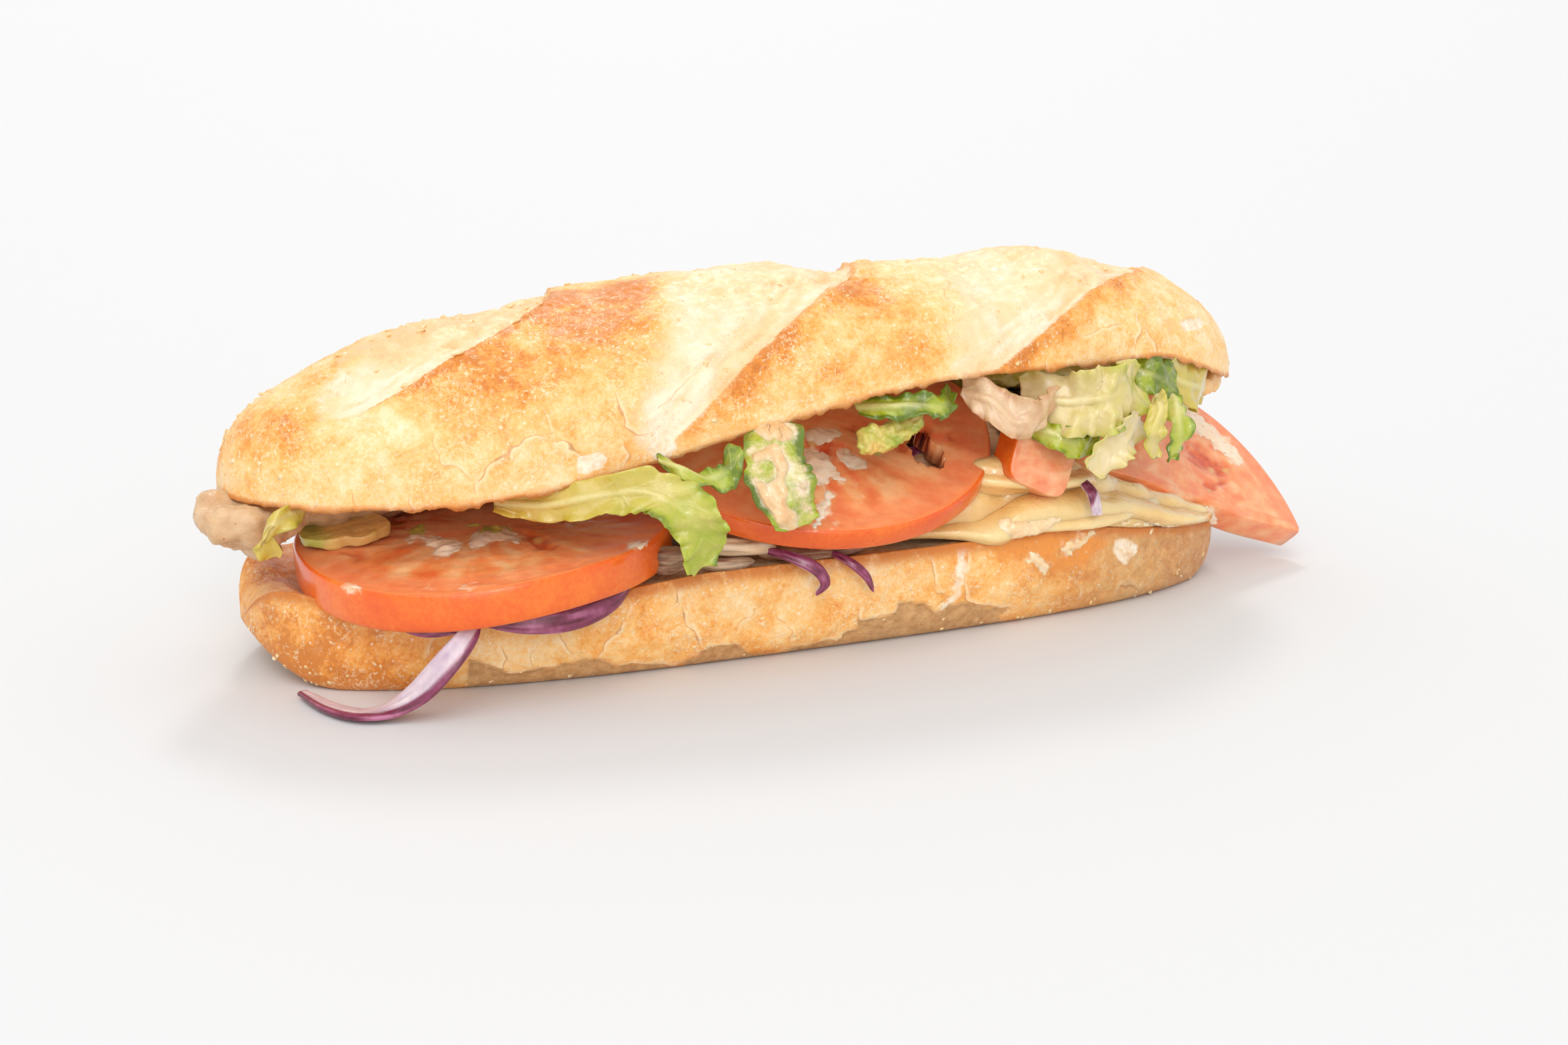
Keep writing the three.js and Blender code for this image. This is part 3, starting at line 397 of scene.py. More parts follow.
class Paint:
    """Builds a material's nodes. Sizes are in millimetres, and colours as they look on a screen."""

    def __init__(self, name, roughness=0.5, subsurface=0.0, spread_mm=1.0, coat=0.0, radius=(1.0, 0.5, 0.25)):
        self.material = bpy.data.materials.new(name)
        self.material.use_nodes = True
        self.tree = self.material.node_tree
        self.shader = self.tree.nodes["Principled BSDF"]
        for key, value in (
            ("Roughness", roughness), ("IOR", 1.45), ("Subsurface Weight", subsurface),
            ("Subsurface Scale", spread_mm * MM), ("Subsurface Radius", radius),
            ("Coat Weight", coat), ("Coat Roughness", 0.12),
        ):
            self.shader.inputs[key].default_value = value
        self.place = Wire(self, self.node("ShaderNodeTexCoord").outputs["Object"])

    def node(self, kind, **settings):
        made = self.tree.nodes.new(kind)
        for key, value in settings.items():
            setattr(made, key, value)
        return made

    def put(self, socket, value):
        if isinstance(value, Wire):
            self.tree.links.new(value.socket, socket)
        else:
            socket.default_value = linear(value) if isinstance(value, tuple) else value

    def maths(self, operation, a, b):
        made = self.node("ShaderNodeMath", operation=operation)
        self.put(made.inputs[0], a)
        self.put(made.inputs[1], b)
        return Wire(self, made.outputs[0])

    def mark(self, name):
        return Wire(self, self.node("ShaderNodeAttribute", attribute_name=name).outputs["Fac"])

    def stretched(self, x, y, z):
        made = self.node("ShaderNodeVectorMath", operation="MULTIPLY")
        self.put(made.inputs[0], self.place)
        made.inputs[1].default_value = (x, y, z)
        return Wire(self, made.outputs[0])

    def grain(self, size, detail, rough=0.55, where=None, twist=0.0):
        """Noise around 0.5 with lumps of one size."""
        made = self.node("ShaderNodeTexNoise")
        self.put(made.inputs["Vector"], where or self.place)
        made.inputs["Scale"].default_value = 1 / (size * MM)
        made.inputs["Detail"].default_value = detail
        made.inputs["Roughness"].default_value = rough
        made.inputs["Distortion"].default_value = twist
        return Wire(self, made.outputs["Fac"])

    def cells(self, size):
        """Distance from the middle of cells of one size."""
        made = self.node("ShaderNodeTexVoronoi")
        self.put(made.inputs["Vector"], self.place)
        made.inputs["Scale"].default_value = 1 / (size * MM)
        return Wire(self, made.outputs["Distance"])

    def blend(self, a, b, share):
        made = self.node("ShaderNodeMix", data_type="RGBA")
        for socket, value in ((made.inputs["Factor"], share), (made.inputs[6], a), (made.inputs[7], b)):
            self.put(socket, value)
        return Wire(self, made.outputs[2])

    def ramp(self, share, *stops):
        """Colours at shares 0..1."""
        made = self.node("ShaderNodeValToRGB")
        self.put(made.inputs[0], share)
        bar = made.color_ramp.elements
        while len(bar) < len(stops):
            bar.new(0.5)
        for element, (place, *colour) in zip(bar, stops):
            element.position = place
            element.color = linear(colour)
        return Wire(self, made.outputs[0])

    def sauced(self, colour):
        """A thin see-through film of dressing where the mark film says so."""
        film = self.mark("film") + (self.grain(1.3, 5, 0.7) - 0.5) * 1.3
        cream = self.ramp(self.grain(2.4, 4), (0.3, 252, 216, 172), (0.7, 255, 242, 220))
        return self.blend(colour, cream, film.step(0.2, 1.05) * self.mark("film").step(0, 0.25))

    def relief(self, *heights):
        """Fine relief from (height 0..1, millimetres) pairs."""
        normal = self.shader.inputs["Normal"]
        for height, depth in reversed(heights):
            made = self.node("ShaderNodeBump")
            self.put(made.inputs["Height"], height)
            made.inputs["Strength"].default_value = 1.0
            made.inputs["Distance"].default_value = depth * MM
            self.tree.links.new(made.outputs["Normal"], normal)
            normal = made.inputs["Normal"]

    def finish(self, colour, roughness=None):
        self.put(self.shader.inputs["Base Color"], colour)
        if roughness:
            self.put(self.shader.inputs["Roughness"], roughness)
        return self.material


def crust_material():
    p = Paint("crust", subsurface=0.12, spread_mm=1.2)
    small, middle, broad = p.grain(0.7, 5, 0.75), p.grain(4.6, 6, 0.68), p.grain(22, 3)
    # brown darkens the crust: baked colour, and on the lower half also painted shade towards its right end
    tone = p.mark("brown")
    for grain, share in ((small, 0.8), (middle, 1.4), (broad, 0.6)):
        tone = tone + (grain - 0.5) * share
    colour = p.ramp(
        tone, (0.0, 252, 232, 196), (0.25, 251, 217, 165), (0.45, 249, 201, 132), (0.65, 245, 180, 98),
        (0.85, 235, 153, 64), (1.0, 212, 126, 46),
    )
    blisters = p.grain(0.85, 3, 0.6).step(0.54, 0.66) * p.grain(6, 3).step(0.38, 0.6)
    dots = p.cells(1.6).step(0.24, 0.08) * p.grain(7, 2).step(0.44, 0.58)
    wrinkle = abs(p.grain(2.4, 4, 0.6, twist=1.2) - 0.5).step(0.035, 0.0) * p.grain(9, 2).step(0.45, 0.6)
    colour = p.blend(colour, (253, 222, 174), blisters * 0.75)
    colour = p.blend(colour, (254, 230, 188), wrinkle * 0.55)
    colour = p.blend(colour, (254, 238, 210), dots * 0.6)

    streaks = p.mark("streak") * 0.5 + p.grain(2.2, 5, 0.7) * 0.55 + p.mark("raw")
    cream = p.ramp(streaks, (0.3, 240, 194, 138), (0.46, 245, 208, 158), (0.62, 246, 213, 170), (0.86, 249, 226, 196))
    colour = p.blend(colour, cream, (p.mark("pale") + (middle - 0.5) * 1.6).step(0.15, 0.85))
    edge = p.mark("edge")
    colour = p.blend(colour, (220, 138, 62), edge.step(2.2, 0.2) * edge.step(-0.2, 0.1) * (p.mark("ridge") * 0.4))

    crack, wide = p.mark("crack"), p.mark("crack_w")
    flake = crack.step(1.3, 0.25) * crack.step(0.0, 0.15) * wide.step(0.02, 0.2)
    colour = p.blend(colour, (254, 228, 184), flake * 0.6)
    # A dark line down each crack, darker where the crack is wider: painted shade in the gap
    line = (wide * 0.6 - abs(crack)).step(-0.08, 0.04) * wide.step(0.02, 0.08)
    colour = p.blend(colour, p.ramp(wide, (0.12, 226, 164, 102), (0.5, 172, 112, 64)), line * 0.7)

    # Darker where the outer crust has flaked, at the foot, and over the right of the lower half's front, the last as
    # painted shade
    under = p.ramp(p.grain(2.0, 5, 0.7), (0.35, 172, 122, 74), (0.65, 214, 168, 116))
    colour = p.blend(colour, under, p.mark("under") * 0.9)
    torn = p.ramp(p.grain(1.6, 4, 0.65), (0.35, 240, 208, 166), (0.65, 252, 240, 220))
    colour = p.blend(colour, torn, (p.mark("torn") + (p.grain(2.4, 4) - 0.5) * 1.2).step(0.3, 0.75))
    crumb = p.ramp(p.cells(1.7) * 0.6 + p.grain(2.5, 3) * 0.4,
                   (0.25, 222, 182, 126), (0.5, 246, 222, 178), (0.75, 252, 238, 208))
    colour = p.blend(colour, p.blend(crumb, (226, 162, 92), p.mark("toast") * 0.9), p.mark("face"))
    colour = p.blend(colour, (208, 124, 52), p.mark("rim") * middle.step(0.22, 0.5))
    colour = p.blend(colour, (232, 148, 66), p.mark("wet") * p.grain(5, 3).step(0.36, 0.5))
    p.relief((p.grain(4.2, 4, 0.5), 0.45), (p.grain(0.8, 3, 0.55), 0.14), (blisters, 0.07))
    rough = p.grain(1.6, 3, 0.6).remap(0.35, 0.65, 0.3, 0.62)
    return p.finish(p.sauced(colour), rough - (rough - 0.12) * p.mark("wet"))


def tomato_material():
    p = Paint("tomato", 0.28, 0.35, 2.5, coat=0.5, radius=(1.0, 0.3, 0.12))
    fibres, share = p.mark("strand"), p.mark("share")
    flesh = fibres * 0.45 + p.grain(3.4, 4) * 0.6
    colour = p.ramp(flesh, (0.3, 238, 112, 56), (0.5, 246, 148, 84), (0.72, 252, 188, 130))
    # pink_and_painted_light: a paler pink flesh tone; on the front slice it grows towards the back as painted light
    # where the upper half shades the slice
    colour = p.blend(colour, p.ramp(p.grain(4, 4), (0.3, 240, 134, 92), (0.7, 251, 198, 158)), p.mark("pink_and_painted_light"))
    wall = p.ramp(p.grain(3, 3), (0.3, 238, 116, 70), (0.7, 248, 152, 102))
    colour = p.blend(colour, wall, share.step(0.76, 0.88) * 0.7)
    # A lighter band at the very edge of the cut face, next to the skin: a painted highlight
    colour = p.blend(colour, (248, 142, 84), share.step(0.965, 1.0))
    gel = p.ramp(p.grain(1.6, 3), (0.3, 196, 48, 20), (0.7, 236, 104, 44))
    colour = p.blend(colour, gel, p.mark("pocket") * 0.9)
    colour = p.blend(colour, p.blend((240, 190, 120), (220, 156, 84), p.grain(0.5, 2)), p.mark("seed"))
    red = p.grain(14, 3) * 0.7 + p.grain(0.8, 3) * 0.3
    skin = p.ramp(red, (0.3, 224, 80, 16), (0.52, 236, 102, 22), (0.75, 247, 134, 38))
    colour = p.blend(colour, skin, p.mark("skin"))
    p.relief((p.grain(1.1, 4, 0.6), 0.12), (fibres, 0.08))
    return p.finish(p.sauced(colour), p.mark("skin") * -0.1 + 0.3)


def leaf_material(name, rib, pale, green, dark):
    p = Paint(name, 0.2, 0.4, 2.0, coat=0.6, radius=(0.6, 1.0, 0.2))
    tone = p.mark("tone") + (p.grain(3.5, 4, 0.6) - 0.5) * 0.8
    colour = p.ramp(tone, (0.05, *rib), (0.4, *pale), (0.75, *green), (1.0, *dark))
    # ochre: a yellowed leaf colour, and at the start of lettuce_hanging painted shade
    colour = p.blend(colour, (206, 172, 74), p.mark("ochre"))
    colour = p.blend(colour, rib, p.mark("vein") * 0.6)
    p.relief((p.grain(1.6, 3, 0.55), 0.3), (p.mark("vein"), 0.12))
    return p.finish(p.sauced(colour))


def onion_material():
    p = Paint("onion", 0.26, 0.35, 2.0, coat=0.35)
    streak = p.mark("strand") + (p.grain(1.2, 3) - 0.5) * 0.5
    flesh = p.ramp(streak, (0.2, 190, 166, 184), (0.6, 216, 198, 206), (0.9, 236, 224, 222))
    skin = p.ramp(streak, (0.2, 92, 24, 46), (0.58, 138, 58, 92), (0.9, 180, 108, 142))
    p.relief((p.mark("strand"), 0.08), (p.grain(0.9, 2), 0.05))
    return p.finish(p.blend(flesh, skin, p.mark("skin")))


def cheese_material():
    p = Paint("cheese", 0.14, 0.45, 3.0, coat=1.0, radius=(1.0, 0.7, 0.4))
    # dip darkens the hollows between folds: painted shade
    tone = p.grain(11, 3) * 0.7 + p.mark("dip") * 0.4
    p.relief((p.grain(2.6, 3, 0.55, twist=0.8), 0.5), (p.grain(0.7, 3), 0.08))
    return p.finish(p.ramp(tone, (0.2, 250, 220, 162), (0.5, 242, 199, 130), (0.85, 222, 167, 94)))


def chicken_material():
    p = Paint("chicken", 0.42, 0.25, 2.0, coat=0.15, radius=(1.0, 0.6, 0.4))
    fibre = p.grain(1.4, 4, 0.6, where=p.stretched(0.25, 1, 1))
    meat = fibre * 0.6 + p.grain(8, 2) * 0.4
    colour = p.ramp(meat, (0.3, 214, 168, 124), (0.5, 236, 204, 164), (0.72, 247, 229, 204))
    colour = p.blend(colour, p.ramp(fibre, (0.35, 104, 66, 48), (0.65, 180, 136, 104)), p.mark("grey"))
    white = p.ramp(p.grain(4, 4), (0.3, 194, 148, 102), (0.7, 220, 182, 138))
    colour = p.blend(colour, white, p.mark("white") * 0.8)
    colour = p.blend(colour, (106, 60, 36), p.mark("char") * p.grain(5, 4, 0.65).step(0.34, 0.6))
    specks = p.cells(2.6).step(0.12, 0.05) * p.grain(6, 1).step(0.5, 0.6)
    p.relief((fibre, 0.4), (p.grain(0.8, 3), 0.12))
    return p.finish(p.blend(colour, (176, 96, 48), specks * 0.8))


def sauce_material(name, dark, middle, light):
    p = Paint(name, 0.22, 0.35, 1.5, coat=0.5)
    colour = p.ramp(p.grain(3.4, 4) * 0.6 + p.grain(0.8, 3) * 0.4, (0.3, *dark), (0.5, *middle), (0.72, *light))
    spots = p.cells(2.6).step(0.12, 0.04) * p.grain(5, 1).step(0.5, 0.6)
    p.relief((p.grain(1.6, 2, 0.5), 0.16))
    return p.finish(p.blend(colour, (206, 110, 56), spots * 0.7))


def avocado_material():
    p = Paint("avocado", 0.3, 0.4, 2.5, coat=0.35)
    tone = p.mark("tone") + (p.grain(3, 4) - 0.5) * 0.7
    p.relief((p.grain(1.2, 4, 0.6), 0.3))
    return p.finish(p.ramp(tone, (0.1, 228, 184, 112), (0.4, 222, 190, 106), (0.68, 198, 192, 92), (1.0, 150, 166, 54)))


def flake_material():
    p = Paint("flakes", 0.55, 0.15, 0.8)
    p.relief((p.grain(0.5, 3), 0.1))
    return p.finish(p.ramp(p.grain(1.3, 3), (0.3, 242, 188, 120), (0.5, 250, 214, 160), (0.7, 253, 234, 200)))


# Bread
HALF_WIDTH, END_POWER, SIDE_POWER = 35, 3.2, 2.2
LOWER_MIDDLE, LOWER_REACH, LOWER_TIP_Z = 0.25, 103.25, 9.5
CUT_Z, CUT_FALL = 18.6, 6.5
UPPER_REACH, UPPER_LEFT_Z, UPPER_RIGHT_Z = 105.8, 34, 40.5
NO_CRACK = 1.5
CROWN = [(-106, 36), (-88, 33.3), (-70, 34.8), (-50, 32), (-34, 30.8), (-18, 30.2), (0, 28.6),
         (15, 24.2), (38, 23.7), (56, 26.6), (76, 22.9), (90, 25), (106, 27)]
# Slashed bands: left and right side at the crown, sweep, and the furthest left that the soft side goes
BANDS = [(-80, -43, 110, -87), (-19, 19.5, 54, -36), (42, 86.5, 54, 25)]
BAND_SLANT = 42


def read_table(table, x):
    places, values = (np.array(v, float) for v in zip(*table))
    k = np.clip(np.searchsorted(places, x, side="right"), 1, len(table) - 1)
    return mix(values[k - 1], values[k], ease(0, 1, (x - places[k - 1]) / (places[k] - places[k - 1])))


def plan_share(t):
    """The outline's half width from above, as a share of the widest."""
    return np.clip(1 - np.abs(t) ** END_POWER, 0, 1) ** (1 / SIDE_POWER)


def crust_lumps(points):
    return 0.55 * lumps(points, 11, 1.3) + 0.3 * lumps(points, 4.5, 4.1)


def stations(count):
    """Places -1..1 along the roll that lie closer together near its ends."""
    u = (np.arange(count) + 0.5) / count * 2 - 1
    return (0.5 * u + 0.5 * np.sin(u * math.pi / 2))[:, None]


def upper_frame(t):
    """The upper half's cut (x, level, half width and direction), the height above it, and how round the end is."""
    x = UPPER_REACH * t
    rise = ease(-80, 34, x)
    end = np.sqrt(1 - np.abs(t) ** 10)
    tip = np.where(t < 0, UPPER_LEFT_Z, UPPER_RIGHT_Z)
    front = mix(tip, 34.2 + 16.8 * rise - 9 * ease(70, 108, x), end)
    back = mix(tip, 29 + 8 * rise, end)
    width, slope = HALF_WIDTH * plan_share(t), (back - front) / 2
    half = np.hypot(width, slope)
    dome = np.clip(1 - np.abs(t) ** np.where(t < 0, 3, 6), 0, 1) ** (1 / SIDE_POWER)
    return x, (front + back) / 2, half, np.stack([width / half, slope / half], -1), read_table(CROWN, x) * dome, end


def slashes(x, a):
    """Open bands of the crust: how pale, the way to the crisp side, the relief, and the crisp ridge."""
    front = a < math.pi / 2
    turn = (a / math.pi - 0.5) * BAND_SLANT
    wave = 0.9 * flat_noise(x, a * 40, 9, 3) + 0.5 * flat_noise(x, a * 40, 2.5, 4)
    pale, relief, ridge = 0, 0, 0
    edge = np.full(wave.shape, 9.0)
    for left, right, sweep, limit in BANDS:
        bend = sweep * (1 - np.sin(a))
        soft = np.maximum(left + np.where(front, turn, bend), limit) + 2.5 * wave
        crisp = right + np.where(front, -bend, turn) + wave
        room = ease(0, 8, crisp - soft)
        gap = (x - crisp) * 0.7
        floor = ease(-6, 4, x - soft) * ease(0.35, -0.35, gap)
        lip = ease(-0.35, 0.35, gap) * ease(9, 1, gap)
        pale = np.maximum(pale, room * ease(-5, 6, x - soft) * ease(0.25, -0.1, gap))
        relief = relief + room * (0.7 * lip - 0.8 * floor)
        ridge = np.maximum(ridge, room * ease(12, 0, np.abs(gap)))
        edge = np.where(np.abs(gap) < np.abs(edge), gap, edge)
    return pale, edge, relief, ridge


# Cracks of the upper crust as (along the roll, up from the cut edge) places, with their widths
UPPER_CRACKS = [
    (0.3, [(-66.5, 0.9), (-66.9, 4.3), (-63.5, 7.1), (-60, 9.5), (-56.5, 10.2), (-52.8, 9.9)]),
    (0.3, [(-52.8, 9.9), (-51.2, 7.9), (-48.6, 5.7), (-45.7, 2.4)]),
    (0.16, [(-61.2, 6.9), (-61.2, 9.7), (-60.8, 12.6), (-59.6, 15.7)]),
    (0.18, [(-66.9, 4.3), (-69.4, 6.7), (-72.2, 8.3), (-73.3, 11.2), (-73.3, 15)]),
    (0.15, [(-52.8, 9.9), (-53.6, 13.1), (-54.8, 15.9)]),
    (0.22, [(-35.1, 5.7), (-38.3, 6.3), (-40, 7.9), (-40.5, 10), (-41.3, 13.9), (-41.3, 16.5)]),
    (0.2, [(-40.5, 5.2), (-39.6, 2.4), (-40.5, 0.9)]),
    (0.3, [(-86.5, 0), (-87.1, 3.9)]),
    (0.25, [(-77.6, 0), (-77.9, 3.8)]),
    (0.15, [(-84.3, 3.2), (-85.1, 5.8)]),
    (0.25, [(2.1, 0), (1.7, 3.1)]),
    (0.3, [(45, -0.5), (45, 2)]),
    (0.14, [(-34.3, 9.4), (-31.1, 10.9), (-26.5, 13.8), (-22.4, 16.6)]),
    (0.14, [(53.2, 5.9), (58.1, 6.8), (63.1, 7.6), (68.7, 8.4)]),
    (0.2, [(67.6, 9.8), (69, 6.2), (66.9, 2.6), (66.9, 0.4)]),
    (0.2, [(69.4, 6.2), (72.2, 2.9), (72.6, 0)]),
    (0.12, [(32, 25), (27.4, 18.2), (28.4, 15.6), (26.5, 11.6)]),
]
# Darker baked spots: place, reach and strength
UPPER_SPOTS = [
    (-62, 23, 13, 0.8), (-37, 34, 12, 0.9), (-100, 15, 9, 0.7), (-16, 12, 8, 0.7), (-8, 16, 6, 0.6),
    (0.7, 7, 5, 0.5), (16.5, 6.5, 7, 0.5), (40, 3, 5, 0.7), (50, 7, 6, 0.6), (95, 18, 7, 0.4),
    (12, 23, 9, 0.5), (-30, 44, 8, 0.8), (-46, 45, 8, 0.7), (-81, 17, 10, -0.5), (30, 12, 6, -0.2),
    (-84, 30, 9, 0.3), (66, 16, 6, 0.3), (60, 44, 10, 0.2),
]
# How white or golden the slashes are: place, reach and strength
BAND_SPOTS = [
    (-83, 24, 9, 0.28), (-74, 29, 8, 0.14), (-33, 4, 9, 0.3), (-31, 14, 9, 0.2), (-25, 21, 8, 0.08), (44, 7, 8, 0.28),
    (38, 19, 9, 0.16), (-50, 47, 12, -0.16), (-62, 49, 12, -0.16), (-76, 45, 12, -0.2), (-12, 32, 8, -0.06),
]
# Torn places of the upper crust, in picture pixels
UPPER_TORN = [
    [(985, 640), (1010, 644), (1014, 676), (1000, 692), (978, 690), (966, 680), (980, 664)],
    [(864, 690), (886, 684), (902, 678), (914, 690), (908, 704), (884, 712), (866, 712)],
    [(1772, 478), (1800, 474), (1812, 486), (1796, 500), (1780, 494)],
]


def cracked(places, lines):
    """Signed distance to the nearest crack, its width there, and the relief it makes."""
    u, v = places[..., 0], places[..., 1]
    moved = places + 0.7 * grid(flat_noise(u, v, 1.6, 21), flat_noise(u, v, 1.6, 22))
    uneven = 0.75 + 0.7 * flat_noise(u, v, 2.4, 20)
    near = np.full(u.shape, 9.0)
    width, relief = np.zeros_like(near), np.zeros_like(near)
    for wide, line in lines:
        dist, share = to_line(moved, line)
        away = np.abs(dist)
        taper = uneven * np.maximum(ease(0, 0.12, share) * ease(1, 0.75, share), 0.25) * ease(1.5, 0.8, away)
        width = np.where(away < np.abs(near), wide * taper, width)
        near = np.where(away < np.abs(near), dist, near)
        lifted = np.where(dist > 0, np.exp(-away / 1.8), -0.4 * np.exp(-away / 0.6))
        relief = relief + wide * 1.5 * lifted * np.maximum(taper, 0.2) * ease(5, 1, away)
    return np.clip(near, -NO_CRACK, NO_CRACK), width, relief


def baked(places, spots):
    """Sum of soft spots, each a place, a reach and a strength."""
    total = np.zeros(places.shape[:-1])
    for x, y, reach, strength in spots:
        away = np.hypot(places[..., 0] - x, (places[..., 1] - y) / 0.8) / reach
        total = total + strength * np.exp(-(away**2))
    return total


# The open bands where they show, in picture pixels
UPPER_PALE = [
    [(478, 612), (470, 585), (520, 540), (600, 490), (700, 440), (800, 430), (800, 462), (745, 496), (700, 530),
     (652, 567), (600, 598), (545, 622)],
    [(985, 655), (975, 600), (985, 520), (990, 440), (1010, 395), (1265, 380), (1258, 399), (1177, 492),
     (1102, 574), (1030, 650), (1010, 668)],
    [(1430, 560), (1432, 480), (1450, 400), (1500, 360), (1700, 380), (1690, 405), (1590, 474), (1500, 555),
     (1460, 580)],
]


def upper_roll():
    t = stations(400)
    turn = 1.75  # Where the rows of points get wider apart, at the back
    a = np.concatenate([np.linspace(0, turn, 118)[:-1], np.linspace(turn, math.pi, 42)])[None, :]
    x, level, half, out, height, end = upper_frame(t)
    s = -half * np.cos(a) * (1 + 0.035 * np.sin(2 * a) * np.sign(math.pi / 2 - a))
    h = height * np.sin(a) ** 0.82

    def placed(s, h):
        return grid(x, s * out[..., 0] - h * out[..., 1], level + s * out[..., 1] + h * out[..., 0])

    base = placed(s, h)
    arc = np.cumsum(np.linalg.norm(np.diff(base, axis=1, prepend=base[:, :1]), axis=-1), 1)
    from_cut = np.minimum(arc, arc[:, -1:] - arc)
    places = grid(x, arc)
    pale, edge, relief, ridge = slashes(x, a)
    crack, crack_w, crack_relief = cracked(places, UPPER_CRACKS)
    toward = a < 1.7
    shown = ease(-16, 14, deepest(seen(base) + 14 * wander(base, 6, 34), UPPER_PALE)) * toward
    pale = np.maximum(pale, shown * (edge < 0.2))
    torn = covered(seen(base) + 5 * wander(base, 2, 28), UPPER_TORN, -3, 4) * toward
    streak = 0.5 + 0.5 * limited(grid(edge * 0.9, arc * 0.14, 0.3 * x), 1.5, 3, 30)
    lift = crust_lumps(base) + relief + crack_relief + 0.32 * layers(base, 3.2, 3, 5) - 0.7 * torn
    lift = lift + pale * (0.35 * layers(base, 2.2, 2, 6) + 0.5 * (streak - 0.5))
    lift = lift + 0.5 * ease(0.35, 0.75, noise(base, 2.1, 7)) * ease(-0.2, 0.5, noise(base, 12, 8))
    lift = lift * plan_share(t) * ease(0, 0.3, np.sin(a))
    dome = placed(s - np.cos(a) * lift, h + np.sin(a) * lift)
    ragged = np.clip(layers(base * [1, 1, 0], 2.6, 3, 31), -0.4, 1)
    dome[..., 2] -= 0.8 * ragged * ease(1.4, 0, from_cut) * plan_share(t)

    share = np.linspace(1, -1, 34)[None, 1:-1]
    face = placed(half * share, 4.5 * end * (1 - share**4) * np.minimum(1, height / 14))
    rough = 0.5 * layers(face, 4, 3, 9) - 0.4 * ease(0.25, 0.6, noise(face, 2.2, 12))
    face[..., 2] += rough * plan_share(t) * ease(1, 0.94, np.abs(share))

    def both(on_dome, on_face=0.0):
        return np.concatenate([np.broadcast_to(on_dome, arc.shape), np.broadcast_to(on_face, face.shape[:2])], 1)

    brown = 0.45 + 0.6 * baked(places, UPPER_SPOTS) - 0.12 * ease(60, 95, x) + 0.04 * ease(-60, -95, x)
    brown = brown + 0.12 * noise(base, 13, 27) + 0.22 * ridge * ease(9, 2, np.abs(edge)) * (edge > 0)
    return loft(
        np.concatenate([dome, face], 1), (-UPPER_REACH, 0, UPPER_LEFT_Z), (UPPER_REACH, 0, UPPER_RIGHT_Z),
        pale=both(pale), edge=both(edge, 9), ridge=both(ridge), crack=both(crack, NO_CRACK), crack_w=both(crack_w),
        brown=both(brown, 0.4), face=both(0, 1), toast=both(0, ease(0.82, 1, np.abs(share))), streak=both(streak),
        rim=both(0.85 * ease(1.3, 0.4, from_cut)), torn=both(torn), raw=both(baked(places, BAND_SPOTS)),
    )


# The upper edge of the flaked place above the base, in picture pixels
FLAKED_EDGE = [
    (700, 993), (718, 992), (736, 997), (752, 1003), (764, 1012), (782, 1007), (812, 1005), (836, 1002), (852, 997),
    (872, 990), (906, 993), (930, 1001), (952, 997), (978, 997), (1012, 1001), (1030, 993), (1056, 975), (1076, 974),
    (1096, 967), (1108, 968), (1118, 978), (1130, 983), (1166, 982),
]
FLAKED_END = [(1166, 982), (1190, 972), (1216, 966), (1240, 962), (1258, 964), (1266, 950), (1288, 940)]
# Cracks of the lower crust as seen from the front, in picture pixels, with widths in millimetres
LOWER_CRACKS = [
    (0.4, [(932, 894), (941, 905), (940, 916), (936, 930)]),
    (0.45, [(936, 930), (926, 946), (914, 956), (908, 966), (906, 974), (896, 984), (890, 990)]),
    (0.3, [(890, 990), (876, 990), (862, 985), (853, 975), (846, 966), (836, 953), (824, 947)]),
    (0.4, [(1019, 880), (1016, 895), (1009, 906)]),
    (0.4, [(1026, 912), (1025, 925), (1034, 941), (1043, 956), (1048, 967), (1058, 975)]),
    (0.25, [(757, 1008), (754, 1000), (761, 988), (757, 974), (754, 964)]),
    (0.14, [(800, 1004), (797, 988), (801, 968)]),
    (0.2, [(638, 992), (646, 976), (650, 962), (661, 949)]),
    (0.14, [(599, 1014), (604, 1000), (606, 984)]),
    (0.12, [(568, 994), (572, 974)]),
    (0.25, FLAKED_EDGE),
    (0.25, FLAKED_END),
    (0.3, [(1164, 919), (1168, 930), (1180, 937), (1186, 945), (1183, 958), (1181, 969)]),
    (0.14, [(1150, 904), (1130, 919), (1112, 932), (1103, 946), (1098, 962)]),
    (0.3, [(1284, 908), (1290, 924), (1291, 933), (1312, 928), (1332, 924), (1346, 918), (1352, 909), (1366, 902)]),
    (0.2, [(1366, 902), (1384, 904), (1397, 911), (1402, 918)]),
    (0.3, [(1394, 836), (1398, 850), (1399, 868), (1405, 884), (1413, 894), (1420, 900)]),
    (0.35, [(1452, 816), (1449, 838), (1446, 868), (1443, 888), (1450, 903), (1470, 908), (1492, 914), (1514, 911),
            (1503, 924), (1500, 930)]),
    (0.25, [(1430, 846), (1429, 870), (1436, 888), (1420, 896), (1402, 912), (1394, 922)]),
    (0.25, [(1609, 864), (1612, 876), (1619, 885), (1612, 900)]),
    (0.4, [(1673, 893), (1682, 882), (1694, 876), (1706, 881), (1698, 894), (1694, 908)]),
    (0.3, [(1783, 794), (1784, 820), (1780, 846), (1773, 870)]),
    (0.2, [(1748, 866), (1749, 880), (1742, 888)]),
    (0.25, [(1560, 926), (1552, 921), (1540, 924)]),
    (0.3, [(378, 880), (388, 893), (391, 902), (382, 905)]),
]
# Where the outer crust has flaked off above the base
LOWER_UNDER = [
    *FLAKED_EDGE, *FLAKED_END[1:], (1292, 933), (1312, 928), (1332, 924), (1346, 918), (1352, 909), (1366, 902),
    (1384, 904), (1402, 916), (1420, 905), (1440, 906), (1470, 908), (1492, 914), (1514, 911), (1503, 924),
    (1500, 1060), (700, 1060),
]
